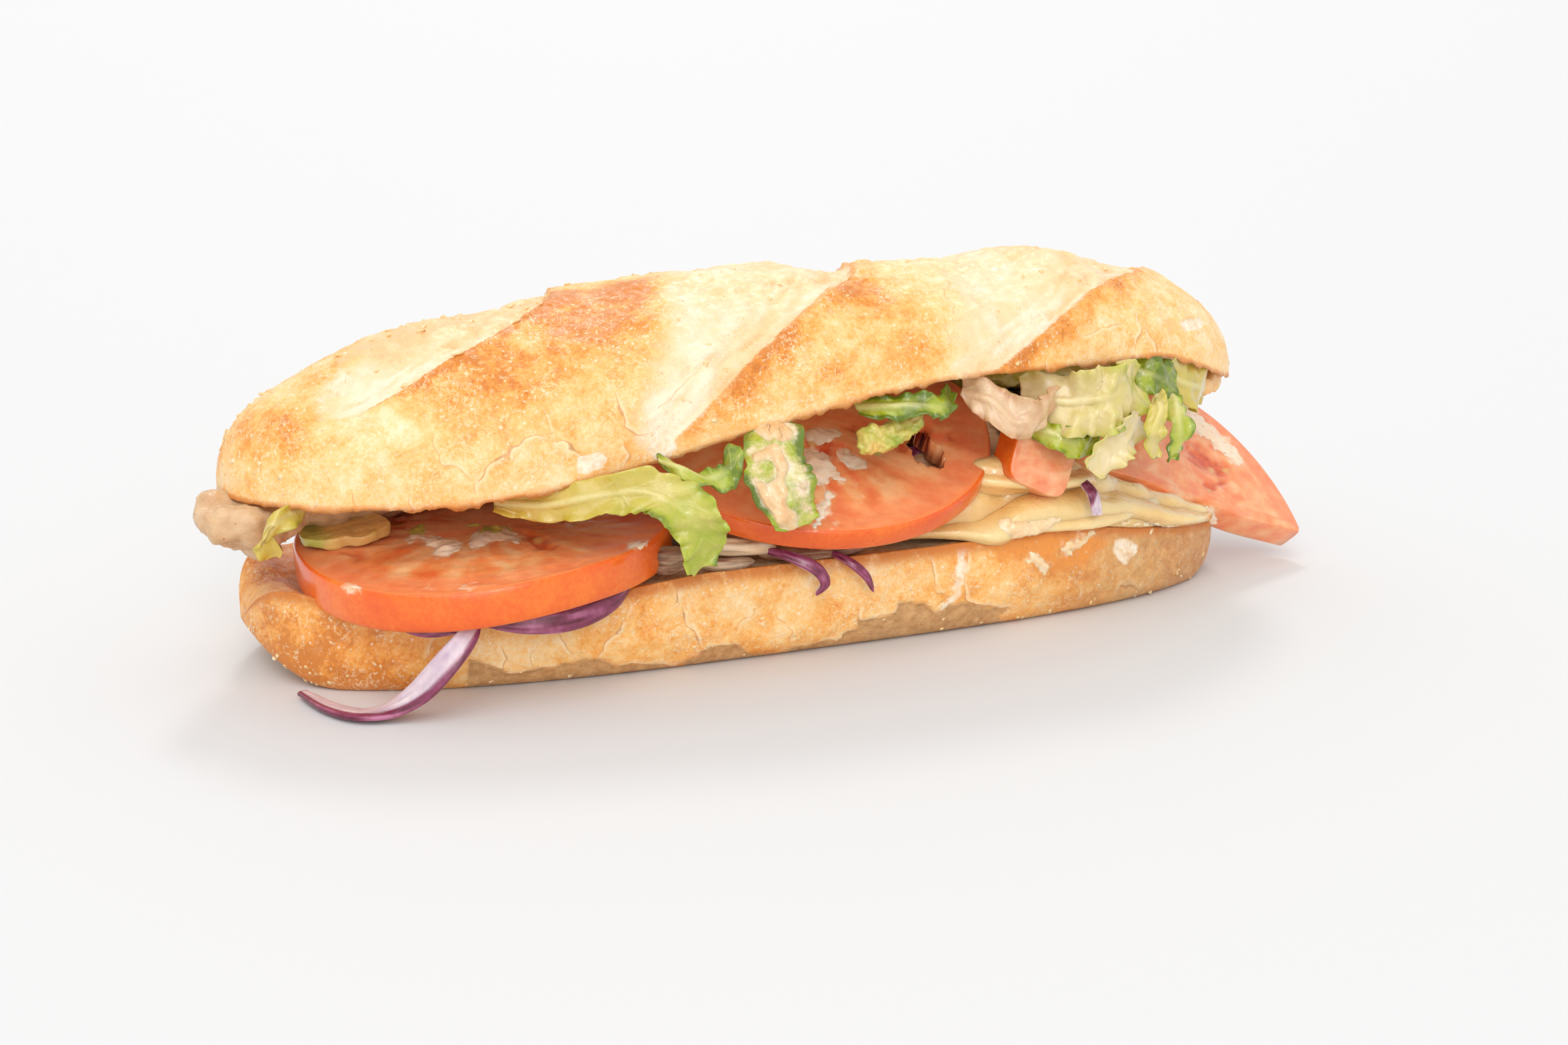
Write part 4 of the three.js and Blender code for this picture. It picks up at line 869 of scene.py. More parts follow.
# Where sauce has soaked in, where white crumb shows, and darker or lighter spots
LOWER_WET = [
    [(1480, 805), (1560, 800), (1660, 795), (1664, 822), (1640, 842), (1600, 858), (1560, 862), (1536, 846),
     (1500, 840)],
]
LOWER_TORN = [
    [(1434, 806), (1462, 803), (1450, 836), (1446, 880), (1440, 890), (1428, 886), (1430, 850), (1434, 830)],
    [(1666, 810), (1690, 806), (1711, 814), (1708, 836), (1690, 849), (1675, 842), (1667, 830)],
    [(1404, 912), (1420, 897), (1438, 888), (1441, 896), (1424, 905), (1410, 916)],
]
LOWER_SPOTS = [(1245, 920, 34, 0.6), (1050, 922, 20, 0.35), (400, 930, 60, 0.35), (480, 1000, 70, 0.3),
               (640, 960, 40, 0.2), (1540, 830, 60, 0.35), (1600, 850, 40, 0.35), (1760, 830, 40, 0.3),
               (1150, 840, 60, 0.3), (1330, 860, 60, -0.3), (1120, 900, 60, -0.35), (820, 960, 60, -0.2),
               (1500, 880, 50, -0.3), (1650, 880, 40, -0.2), (980, 930, 40, 0.1)]


def lower_roll():
    t = stations(390)
    x = LOWER_MIDDLE + LOWER_REACH * t
    cut = CUT_Z + 5.5 * ease(-0.86, -1, t) - 1.5 * ease(-0.22, -0.42, t) - CUT_FALL * ease(0.45, 1, t)
    end = np.sqrt(1 - np.abs(t) ** 16)
    roof = mix(LOWER_TIP_Z, cut, end)
    lowest = np.minimum(9 * np.clip((np.abs(t) - 0.86) / 0.14, 0, 1) ** 2.3, roof)

    base_share, widest, lip = 0.85, 0.5, 0.97
    low, high = np.linspace(0, math.pi / 2, 24), np.linspace(0, math.pi / 2, 36)[1:]
    side_y = np.concatenate([base_share + (1 - base_share) * np.sin(low), lip + (1 - lip) * np.cos(high)])
    side_z = np.concatenate([widest * (1 - np.cos(low)), widest + (1 - widest) * np.sin(high)])
    face_y = np.linspace(lip, -lip, 32)[1:-1]
    base_y = np.linspace(-base_share, base_share, 14)[1:-1]
    y = np.concatenate([base_y, side_y, face_y, -side_y[::-1]])[None, :]
    z = np.concatenate([0 * base_y, side_z, 0 * face_y + 1, side_z[::-1]])[None, :]
    face = np.repeat([0.0, 0, 1, 0], [len(base_y), len(side_y), len(face_y), len(side_y)])[None, :]
    crust = ease(0, 0.2, z) * ease(1, 0.9, z) * plan_share(t)

    points = grid(x, HALF_WIDTH * plan_share(t) * y, mix(lowest, roof, z))
    rough = 0.35 * lumps(points * [1, 1, 0], 6, 2.2) + 0.35 * layers(points, 3, 3, 33)
    points[..., 2] += face * end * (rough - 2.4 * (1 - y * y))
    picture = seen(points)
    lines = [(0.8 * wide, np.array(line) / PIXELS_PER_MM) for wide, line in LOWER_CRACKS]
    crack, crack_w, relief = cracked(picture / PIXELS_PER_MM, lines)
    facing = (y < -0.5) & (face < 0.5)
    foot = ease(0.3, 0.0, z) * (1 - face)
    ragged = picture + 5 * wander(points, 2, 23)
    flaked = covered(ragged, [LOWER_UNDER], -3, 3) * facing
    under = np.maximum(flaked, (1 - facing) * foot * ease(-0.2, 0.5, noise(points, 9, 25) + 0.6))
    # Darker over the right of the front, as painted shade of the side turned from the light, and a little at the left
    # end
    under = np.maximum(under, facing * (0.75 * ease(30, 75, x) + 0.1 * ease(-75, -100, x)))
    lift = crust_lumps(points) + relief * facing + 0.25 * layers(points, 2.6, 3, 35) - 0.6 * flaked
    points[..., 1] += np.sign(y) * lift * crust
    # Browner at the foot, a little towards the left end, and most towards the right end, where the browning is painted
    # shade of the side turned from the light
    brown = 0.58 + 0.2 * foot + 0.34 * ease(50, 95, x) + 0.16 * ease(-60, -95, x)
    brown = brown + 0.4 * baked(picture, LOWER_SPOTS) * facing + 0.2 * noise(points, 14, 26)
    return loft(
        points, (LOWER_MIDDLE - LOWER_REACH, 0, LOWER_TIP_Z), (LOWER_MIDDLE + LOWER_REACH, 0, LOWER_TIP_Z),
        crack=np.where(facing, crack, NO_CRACK), crack_w=crack_w * facing, brown=brown, under=under,
        face=face * ease(-0.84, -0.72, t) * ease(0.97, 0.9, t), toast=ease(0.8, 1, np.abs(y)) * face,
        torn=0.7 * covered(ragged, LOWER_TORN, -5, 5) * facing, wet=covered(ragged, LOWER_WET, -6, 12) * facing,
        rim=ease(0.82, 0.97, z) * (1 - face) * facing,
    )


# Seed pockets that show, in picture pixels
FRONT_POCKETS = [
    [(775, 795), (795, 797), (820, 805), (840, 815), (830, 825), (810, 828), (795, 820), (785, 808)],
    [(810, 768), (850, 766), (885, 776), (876, 786), (840, 785)],
    [(513, 828), (540, 826), (556, 830), (545, 845), (530, 842)],
    [(570, 775), (596, 768), (620, 778), (606, 795), (580, 792)],
]
DROOPING_POCKETS = [
    [(1206, 652), (1232, 648), (1254, 660), (1250, 684), (1226, 690), (1208, 676)],
    [(1264, 640), (1284, 632), (1302, 640), (1296, 652), (1276, 650)],
    [(1336, 664), (1350, 656), (1366, 664), (1364, 680), (1350, 678)],
    [(1368, 640), (1384, 634), (1400, 640), (1398, 660), (1376, 660)],
    [(1420, 642), (1434, 646), (1430, 662), (1418, 658)],
]
LEANING_POCKETS = [
    [(1772, 660), (1796, 664), (1822, 684), (1846, 700), (1840, 716), (1812, 712), (1788, 694), (1776, 678)],
    [(1806, 724), (1830, 716), (1846, 722), (1836, 734), (1812, 736)],
]


# Tomato
def wafer(outline, thickness, bulge, place, around, rings, hole=None):
    """A flat piece with a rounded rim, from outline(angle) and place(x, y, h), with a hole if one is given."""
    angle, half = circle(around), thickness / 2
    inner = [(share, -bulge * 0.4 * share**8) for share in np.sqrt(np.linspace(0.0006, 1, rings))[:-1]]
    turn = np.linspace(0.5, -0.5, 16) * math.pi
    plan = [(share, grow, half, 0.0) for share, grow in inner]
    plan += [(1, bulge * (1.4 * abs(math.cos(a)) ** 0.6 - 0.4), half * powered(math.sin(a), 0.7), float(abs(a) < 1.5))
             for a in turn]
    plan += [(share, grow, -half, 0.0) for share, grow in inner[::-1]]
    share, grow, height, skin = np.array(plan).T[..., None]
    r = outline(angle) * share + grow
    x, y = r * np.cos(angle), r * np.sin(angle)
    if hole:
        x, y, gone = hole(x, y)
    rows = place(x, y, height)
    shape = loft(rows, rows[0].mean(0), rows[-1].mean(0), local_x=x, local_y=y, share=share, skin=skin)
    return pierced(shape, spread(gone) > 0.5, *x.shape) if hole else shape


def pierced(shape, gone, rows, around):
    """Takes the faces out between points that are gone on both sides, and walls the hole."""
    shape.quads = shape.quads[~gone[shape.quads].all(1)]
    count = rows * around
    edges = np.concatenate([shape.quads[:, [k, (k + 1) % 4]] for k in range(4)])
    rim = open_edges(edges[(gone[edges].all(1)) & (edges < count).all(1)], count)
    rim = rim[(rim // around < rows // 2).all(1)]
    mirror = (rows - 1 - rim // around) * around + rim % around
    walls = np.stack([rim[:, 1], rim[:, 0], mirror[:, 0], mirror[:, 1]], -1)
    shape.quads = np.concatenate([shape.quads, walls])
    used, index = np.unique(np.concatenate([shape.quads.ravel(), shape.tris.ravel()]), return_inverse=True)
    shape.points = shape.points[used]
    shape.marks = {k: v[used] for k, v in shape.marks.items()}
    shape.tris = index[shape.quads.size:].reshape(-1, 3)
    shape.quads = index[:shape.quads.size].reshape(-1, 4)
    return shape


def seed_pockets(x, y, radius, turn):
    r = np.hypot(x, y) / radius
    around = 0.5 + 0.5 * np.cos((np.arctan2(y, x) + turn) * 6)
    return ease(0.2, 0.42, r) * ease(0.84, 0.66, r) * ease(0.35, 0.8, around)


def seeds(x, y, pocket, seed):
    """Oval bumps scattered in the pockets."""
    rng = np.random.default_rng(seed)
    total = np.zeros_like(x)
    for sx, sy in rng.uniform(-30, 30, (90, 2)):
        turn = math.atan2(sy, sx) + rng.normal(0, 0.4)
        dx, dy = x - sx, y - sy
        a = dx * math.cos(turn) + dy * math.sin(turn)
        b = -dx * math.sin(turn) + dy * math.cos(turn)
        total = np.maximum(total, ease(1.15, 0.75, np.hypot(a / 1.5, b / 0.9)))
    return total * ease(0.35, 0.6, pocket)


def tomato(outline, radius, thickness, bulge, place, around, rings, seed, pink_and_painted_light, turn=0.5, depth=0.7, shown=(),
           fibre=1.0, hole=None, skinless=None):
    """A cut slice with skin on its rim. Its shown pockets are outlines in the picture, and the others regular."""
    shape = wafer(outline, thickness, bulge, place, around, rings, hole)
    p, x, y, share = shape.points, *(shape.marks[k] for k in ("local_x", "local_y", "share"))
    picture = covered(seen(p) + 6 * wander(p, 1.8, 41), shown, -3, 9)
    pocket = np.where(shape.facing() > 0, picture, seed_pockets(x, y, radius, turn))
    on_face = 1 - shape.marks["skin"]
    if skinless:
        bare = skinless(x, y)
        share = share * (1 - 0.3 * bare)
        shape.mark(skin=shape.marks["skin"] * (1 - bare), share=share)
    a = np.arctan2(y, x)
    radial = limited(grid(np.cos(a) * 14, np.sin(a) * 14, np.hypot(x, y) * 0.12), 1.6, 3, 40 + seed)
    cloudy = limited(p * [1, 1, 2.5], 3.2, 4, 44 + seed)
    strand = 0.5 + 0.5 * (fibre * radial * ease(0.08, 0.5, share) + (1 - fibre) * cloudy)
    seed_mask = seeds(x, y, pocket, seed)
    height = 0.28 * seed_mask + 0.08 * (strand - 0.5) + 0.16 * layers(p, 3.5, 3, 50 + seed) - depth * pocket
    shape.push(height * on_face * ease(1, 0.96, share))
    return shape.mark(pocket=pocket * on_face, seed=seed_mask * on_face, strand=strand, pink_and_painted_light=given(pink_and_painted_light, x, y))


def placer(centre, across, along, up, bend=0.0):
    """place(x, y, h) along three directions, with a bend(x, y) in the last."""
    def place(x, y, h):
        rise = h + given(bend, x, y)
        return np.asarray(centre) + x[..., None] * across + y[..., None] * along + rise[..., None] * up

    return place


def tilted(centre, a, b, bend):
    up = np.array([-math.sin(b), -math.sin(a) * math.cos(b), math.cos(a) * math.cos(b)])
    across = unit(np.cross([0, 1, 0], up))
    return placer(centre, across, np.cross(up, across), up, bend)


def front_slice():
    def sag(x, y):
        return -0.004 * np.maximum(0, -0.7 * (x + y) - 12) ** 2

    # The flesh grows paler towards the back: painted light on the part of the face that the upper half shades
    return tomato(
        lambda a: 34.2 * (1 + 0.012 * np.cos(3 * a + 0.4)), 34.2, 6.9, 0.6, tilted((-60, -10, 21.8), 0.012, 0.04, sag),
        210, 56, 2, depth=0.8, shown=FRONT_POCKETS, pink_and_painted_light=lambda x, y: ease(-10, 10, y),
    )


def drooping_slice():
    def droop(x, y):
        return -0.0155 * np.maximum(0, y + 2) ** 2 - 0.0006 * x * x

    def hole(x, y):
        middle_x, middle_y, long, short = 20, -16, 6.7, 3.2
        dx, dy = x - middle_x, y - middle_y
        a = np.arctan2(dy, dx)
        ragged = 1 + 0.1 * np.cos(3 * a + 1) + 0.08 * np.cos(5 * a) + 0.05 * np.cos(13 * a)
        edge = ragged * short * long / np.hypot(long * np.cos(a), short * np.sin(a))
        gone = np.hypot(dx, dy) < edge
        return np.where(gone, middle_x + edge * np.cos(a), x), np.where(gone, middle_y + edge * np.sin(a), y), gone

    return tomato(
        lambda a: 37.2 * (1 + 0.015 * np.cos(2 * a + 1)), 37.2, 4.4, 0.6, tilted((4.6, -8, 39.2), 0.42, 0.03, droop),
        220, 60, 3, turn=0.1, shown=DROOPING_POCKETS, pink_and_painted_light=0.2, hole=hole,
    )


def leaning_slice():
    """Half a slice: its straight cut is drop below the origin, and the middle of its round side lift below."""
    radius, lean, thickness, drop, lift = 33, 0.86, 6, 11, 13.5
    along = unit([0.93, 0.1, -0.345])
    rise = np.array([0.1, math.sin(lean), math.cos(lean)])
    rise = unit(rise - along * (rise @ along))
    up = unit(np.cross(along, rise))
    up = -up if up[1] > 0 else up

    def outline(a):
        s = np.sin(a)
        arc = -lift * s + np.sqrt(radius * radius - lift * lift * (1 - s * s))
        straight = np.where(s < 0, (drop - 0.8 * np.cos(5 * a)) / -np.minimum(s, -1e-6), np.inf)
        return np.minimum(arc, straight)

    place = placer(np.array([90, -21, 16.3]) - up * thickness / 2 + lift * rise, along, rise, up)
    return tomato(outline, radius, thickness, 0.5, place, 190, 50, 4, depth=0.8, shown=LEANING_POCKETS, pink_and_painted_light=0.3,
                  fibre=0.3, skinless=lambda x, y: ease(1.6, 0.4, y + drop))


def wedge():
    size, power = 6.4, 5
    place = placer((44.8, -31, 33.4), 1.02 * unit([0.9, -0.1, -0.42]), unit([0.38, 0.2, 0.9]), unit([0.05, -1, 0.2]))
    return tomato(lambda a: size / (np.abs(np.cos(a)) ** power + np.abs(np.sin(a)) ** power) ** (1 / power),
                  size, 7, 0.25, place, 100, 26, 5, depth=0.1, pink_and_painted_light=0.6, fibre=0,
                  skinless=lambda x, y: 1 - ease(4.6, 5.4, -x))


# Soft slabs: chicken, cheese, mash and the lettuce bed
def slab(path, half_width, half_height, side, square, rough, seed, segments, around, sag=0.0):
    """A lumpy bar along a path, wide towards side. Its section is an oval where square is 1, and boxier below."""
    u = (1 - np.cos(np.arange(1, segments) / segments * math.pi))[:, None] / 2
    side = unit(side)
    up = unit(np.cross(side, heading(path, u[:, 0])))[:, None, :]
    up = np.where(up[..., 2:] < 0, -up, up)
    taper = (1 - np.abs(2 * u - 1) ** 4) ** 0.42
    c, s = np.cos(circle(around)), np.sin(circle(around))
    wide = powered(c, square) * given(half_width, u) * taper
    high = powered(s, square) * given(half_height, u) * taper
    p = curve(path, u) + wide[..., None] * side + high[..., None] * up
    lift = rough * lumps(p, 5, seed)
    p = p + (c * lift)[..., None] * side + (s * lift - sag * c * c)[..., None] * up
    return loft(p, path[0], path[-1], u=u, c=c, s=s)


def chicken(path, half_width, half_height, seed, grilled=1.0):
    shape = slab(path, half_width, half_height, (0, 1, 0), 0.72, 0.9, seed, 104, 68)
    p = shape.points
    rough = 0.45 * layers(p * [0.3, 1, 1], 1.8, 3, int(seed * 10)) + 0.3 * layers(p, 5, 2, 60)
    rough = rough + 0.7 * (1 - grilled) * layers(p, 3.4, 3, 61)
    shape.push(rough * fade(shape.marks["u"], 0.05))
    stripe = 0.5 + 0.5 * np.sin(p[:, 0] * 0.55 + p[:, 1] * 0.3 + seed)
    return shape.mark(char=grilled * ease(0.62, 0.9, stripe), white=1 - grilled)


def shred(path, width, height, seed, grey=0.0, char=0.0, white=0.0):
    """One strip of pulled chicken with lengthwise strands, thinner towards its ends."""
    def swell(u):
        return 0.35 + 0.65 * np.sin(math.pi * (0.1 + 0.8 * u))

    shape = slab(path, lambda u: width / 2 * swell(u), lambda u: height / 2 * swell(u), (0, 0.8, 0.6), 0.8, 0.6,
                 seed, 60, 36)
    u, c, s = (shape.marks[k] for k in "ucs")
    fibre = flat_noise(u * 1.2, np.arctan2(s, c) * 2.4, 0.5, int(seed * 10))
    shape.push(0.4 * fibre * fade(u, 0.06))
    return shape.mark(char=char * ease(-0.2, 0.5, fibre), grey=grey + 0.3 * fibre, white=white)


def cheese(shape, seed):
    """Melted folds over a slab."""
    p = shape.points
    folds = np.sin(p[:, 2] * 1.5 + 2.2 * noise(p * [0.35, 1, 1], 9, seed) + 0.06 * p[:, 0])
    shape.push(0.5 * folds * fade(shape.marks["u"], 0.08) + 0.25 * layers(p, 5, 2, seed))
    # dip is darker in the troughs between the folds: painted shade
    return shape.mark(dip=0.3 * (1 - folds))


# How high the cheese that hangs over the front starts, along the roll
DRAPE_TOP = [(14, 27), (38, 28), (43, 31), (48, 32.4), (56, 30.4), (64, 26), (74, 22), (84, 18.4), (97, 13.6)]


def cheese_drape():
    """Melted cheese that hangs in soft folds over the front of the slices, down to the lower crust."""
    u, v = np.linspace(0, 1, 140)[:, None], np.linspace(0, 1, 64)[None, :]
    x = mix(14, 97, u)
    t = (x - LOWER_MIDDLE) / LOWER_REACH
    out = HALF_WIDTH * plan_share(t)
    rim = CUT_Z - CUT_FALL * ease(0.45, 1, t)
    low = rim + 0.5 + 1.6 * ease(34, 14, x) - 1.6 * ease(0.1, 0.8, noise(grid(x, 0, 0), 9, 90))
    y = -mix(0.66 * out, mix(0.84, 0.97, ease(14, 36, x)) * out + 0.5, 1 - (1 - v) ** 1.7)
    z = mix(read_table(DRAPE_TOP, x), low, v**1.15)
    sway = 0.5 * flat_noise(x, 0, 17, 91) + 0.25 * flat_noise(x, v * 6, 7, 92)
    phase = v * (1.1 + 0.9 * ease(30, 44, x) * ease(97, 60, x)) + 0.45 * sway + 0.12
    lobe = (0.5 - 0.5 * np.cos(TAU * phase)) ** 0.6
    swell = 2.1 * lobe * ease(0, 0.06, v) * ease(1, 0.93, v) * fade(u, 0.05)
    swell = swell * (1 + 0.35 * np.sin(0.62 * x + 0.6 * sway) * ease(0.7, 0.3, v)) + 0.3 * flat_noise(x, v * 14, 6, 93)
    # dip is darker between the lobes: painted shade in the creases
    return sheet(grid(x, y - 0.9 * swell, z + 0.35 * swell), 1.3, dip=0.9 * (1 - lobe))


# Leaves
def leaf(path, sides, width, seed, start=1.0, ruffle=1.0, waves=2, cup=0.0, tone=(0.4, 0.7), ochre=(0, 0), frill=0.6,
         blistered=0.5, columns=80, rows=28):
    """A torn leaf strip along a path: a rib, branching veins, blisters and a frilly edge."""
    t, v = np.linspace(0, 1, columns)[:, None], np.linspace(-0.5, 0.5, rows)[None, :]
    line, side, out = ribbon(path, sides, t[:, 0])
    along = t * np.linalg.norm(np.diff(line[:, 0], axis=0), axis=1).sum()
    outer = np.abs(2 * v)

    def by_half(apart, size, number):
        return flat_noise(along, np.sign(v) * apart, size, seed + number)

    def all_over(size, number):
        return flat_noise(along, across, size, seed + number)

    taper = 0.62 + 0.38 * np.sin(math.pi * (0.12 + 0.8 * t))
    taper = taper * mix(start, 1, ease(0, 0.6, t)) * (1 - 0.35 * (ease(0.05, 0, t) + ease(0.95, 1, t)))
    across = v * width * taper * (1 + 0.12 * by_half(9, 3.2, 0) + 0.06 * by_half(5, 1, 1))

    ribs = np.abs(np.sin(along * 0.55 - np.abs(across) * 0.9 + 0.7 * all_over(4, 4)))
    branch = ease(0.16, 0.02, ribs) * ease(0.95, 0.5, outer) * ease(-0.5, 0.5, all_over(6, 6))
    rib = ease(1.1, 0.1, np.abs(across + 0.8 * flat_noise(along, 0, 7, seed + 8))) * ease(0.95, 0.2, t)
    veins = np.maximum(0.45 * branch, 0.8 * rib)

    wave = ruffle * np.sin(t * waves * TAU + np.where(v > 0, 0.8, 2.4)) * outer**1.5 + cup * (outer**2 - 0.4)
    wave = wave + frill * np.sin(along * 1.5 + 4 * by_half(7, 6, 2)) * outer**2.5
    wave = wave + blistered * all_over(2.8, 3) * (1 - veins) + 0.2 * veins + 0.6 * all_over(5.5, 9)
    green_edge = ease(0.5, 1, outer) * (0.3 + 0.3 * by_half(5, 7, 7))
    thick = (0.4 + 0.5 * veins) * (0.4 + 0.6 * ease(1, 0.88, outer))
    return sheet(line + across[..., None] * side + wave[..., None] * out, thick[..., None], vein=veins, across=v,
                 tone=mix(*tone, t) - 0.12 + green_edge + 0.14 * all_over(5, 5), ochre=mix(*ochre, t))


# Onion strips
def onion(path, sides, height, seed, wall=1.5, blunt=0.3, skin_edge=0.18, low_edge=0.0, skinned=2.0):
    """A strip with purple skin outside, over its two long edges, and along it up to the share skinned."""
    segments, around = 110, 28
    u = (np.arange(1, segments) / segments)[:, None]
    line, side, out = ribbon(path, sides, u[:, 0])
    taper = mix(blunt, 1, np.sin(math.pi * np.clip(u, 0.02, 0.98)) ** 0.6)
    a = circle(around)
    s, d = 0.5 * powered(np.cos(a), 0.8), 0.46 * powered(np.sin(a), 0.7) + 0.05
    p = line + (s * height * taper)[..., None] * side + (d * wall * mix(0.6, 1, taper))[..., None] * out
    skin = np.maximum(ease(0.05, 0.3, d), ease(0.5 - skin_edge, 0.5, s))
    skin = np.maximum(skin, ease(low_edge - 0.54, low_edge - 0.58, s + 0.06 * flat_noise(u * 8, 0, 1, seed + 3)))
    skin = skin * ease(skinned + 0.06, skinned - 0.06, u + 0.4 * s * (skinned < 1))
    shape = loft(p, path[0], path[-1], strand=0.5 + 0.5 * flat_noise(u * 8, s * 14, 1, seed), skin=skin)
    return shape.push(0.05 * (shape.marks["strand"] - 0.5))


# Everything in its place
CRUST = crust_material()
TOMATO = tomato_material()
# The leaf's darkest stop is this dark as painted shade, for leaves that sit in shade
LEAF = leaf_material("leaf", (228, 216, 158), (204, 198, 102), (164, 176, 40), (98, 118, 20))
PALE_LEAF = leaf_material("pale_leaf", (232, 214, 168), (216, 198, 128), (190, 186, 84), (152, 166, 54))
CLEAR_LEAF = leaf_material("clear_leaf", (226, 192, 154), (200, 150, 108), (182, 148, 80), (150, 140, 56))
ONION = onion_material()
CHEESE = cheese_material()
CHICKEN = chicken_material()
SAUCE = sauce_material("sauce", (248, 198, 144), (252, 214, 168), (255, 234, 204))
# The same sauce made lighter, as painted light where it lies in shade on the slices
SAUCE_PAINTED_LIGHT = sauce_material("cream", (255, 206, 168), (255, 224, 196), (255, 242, 224))
# The same sauce made darker, as painted shade on the dressed leaf
SAUCE_PAINTED_SHADE = sauce_material("dressing", (222, 168, 114), (236, 192, 142), (246, 218, 182))
AVOCADO = avocado_material()
FLAKES = flake_material()

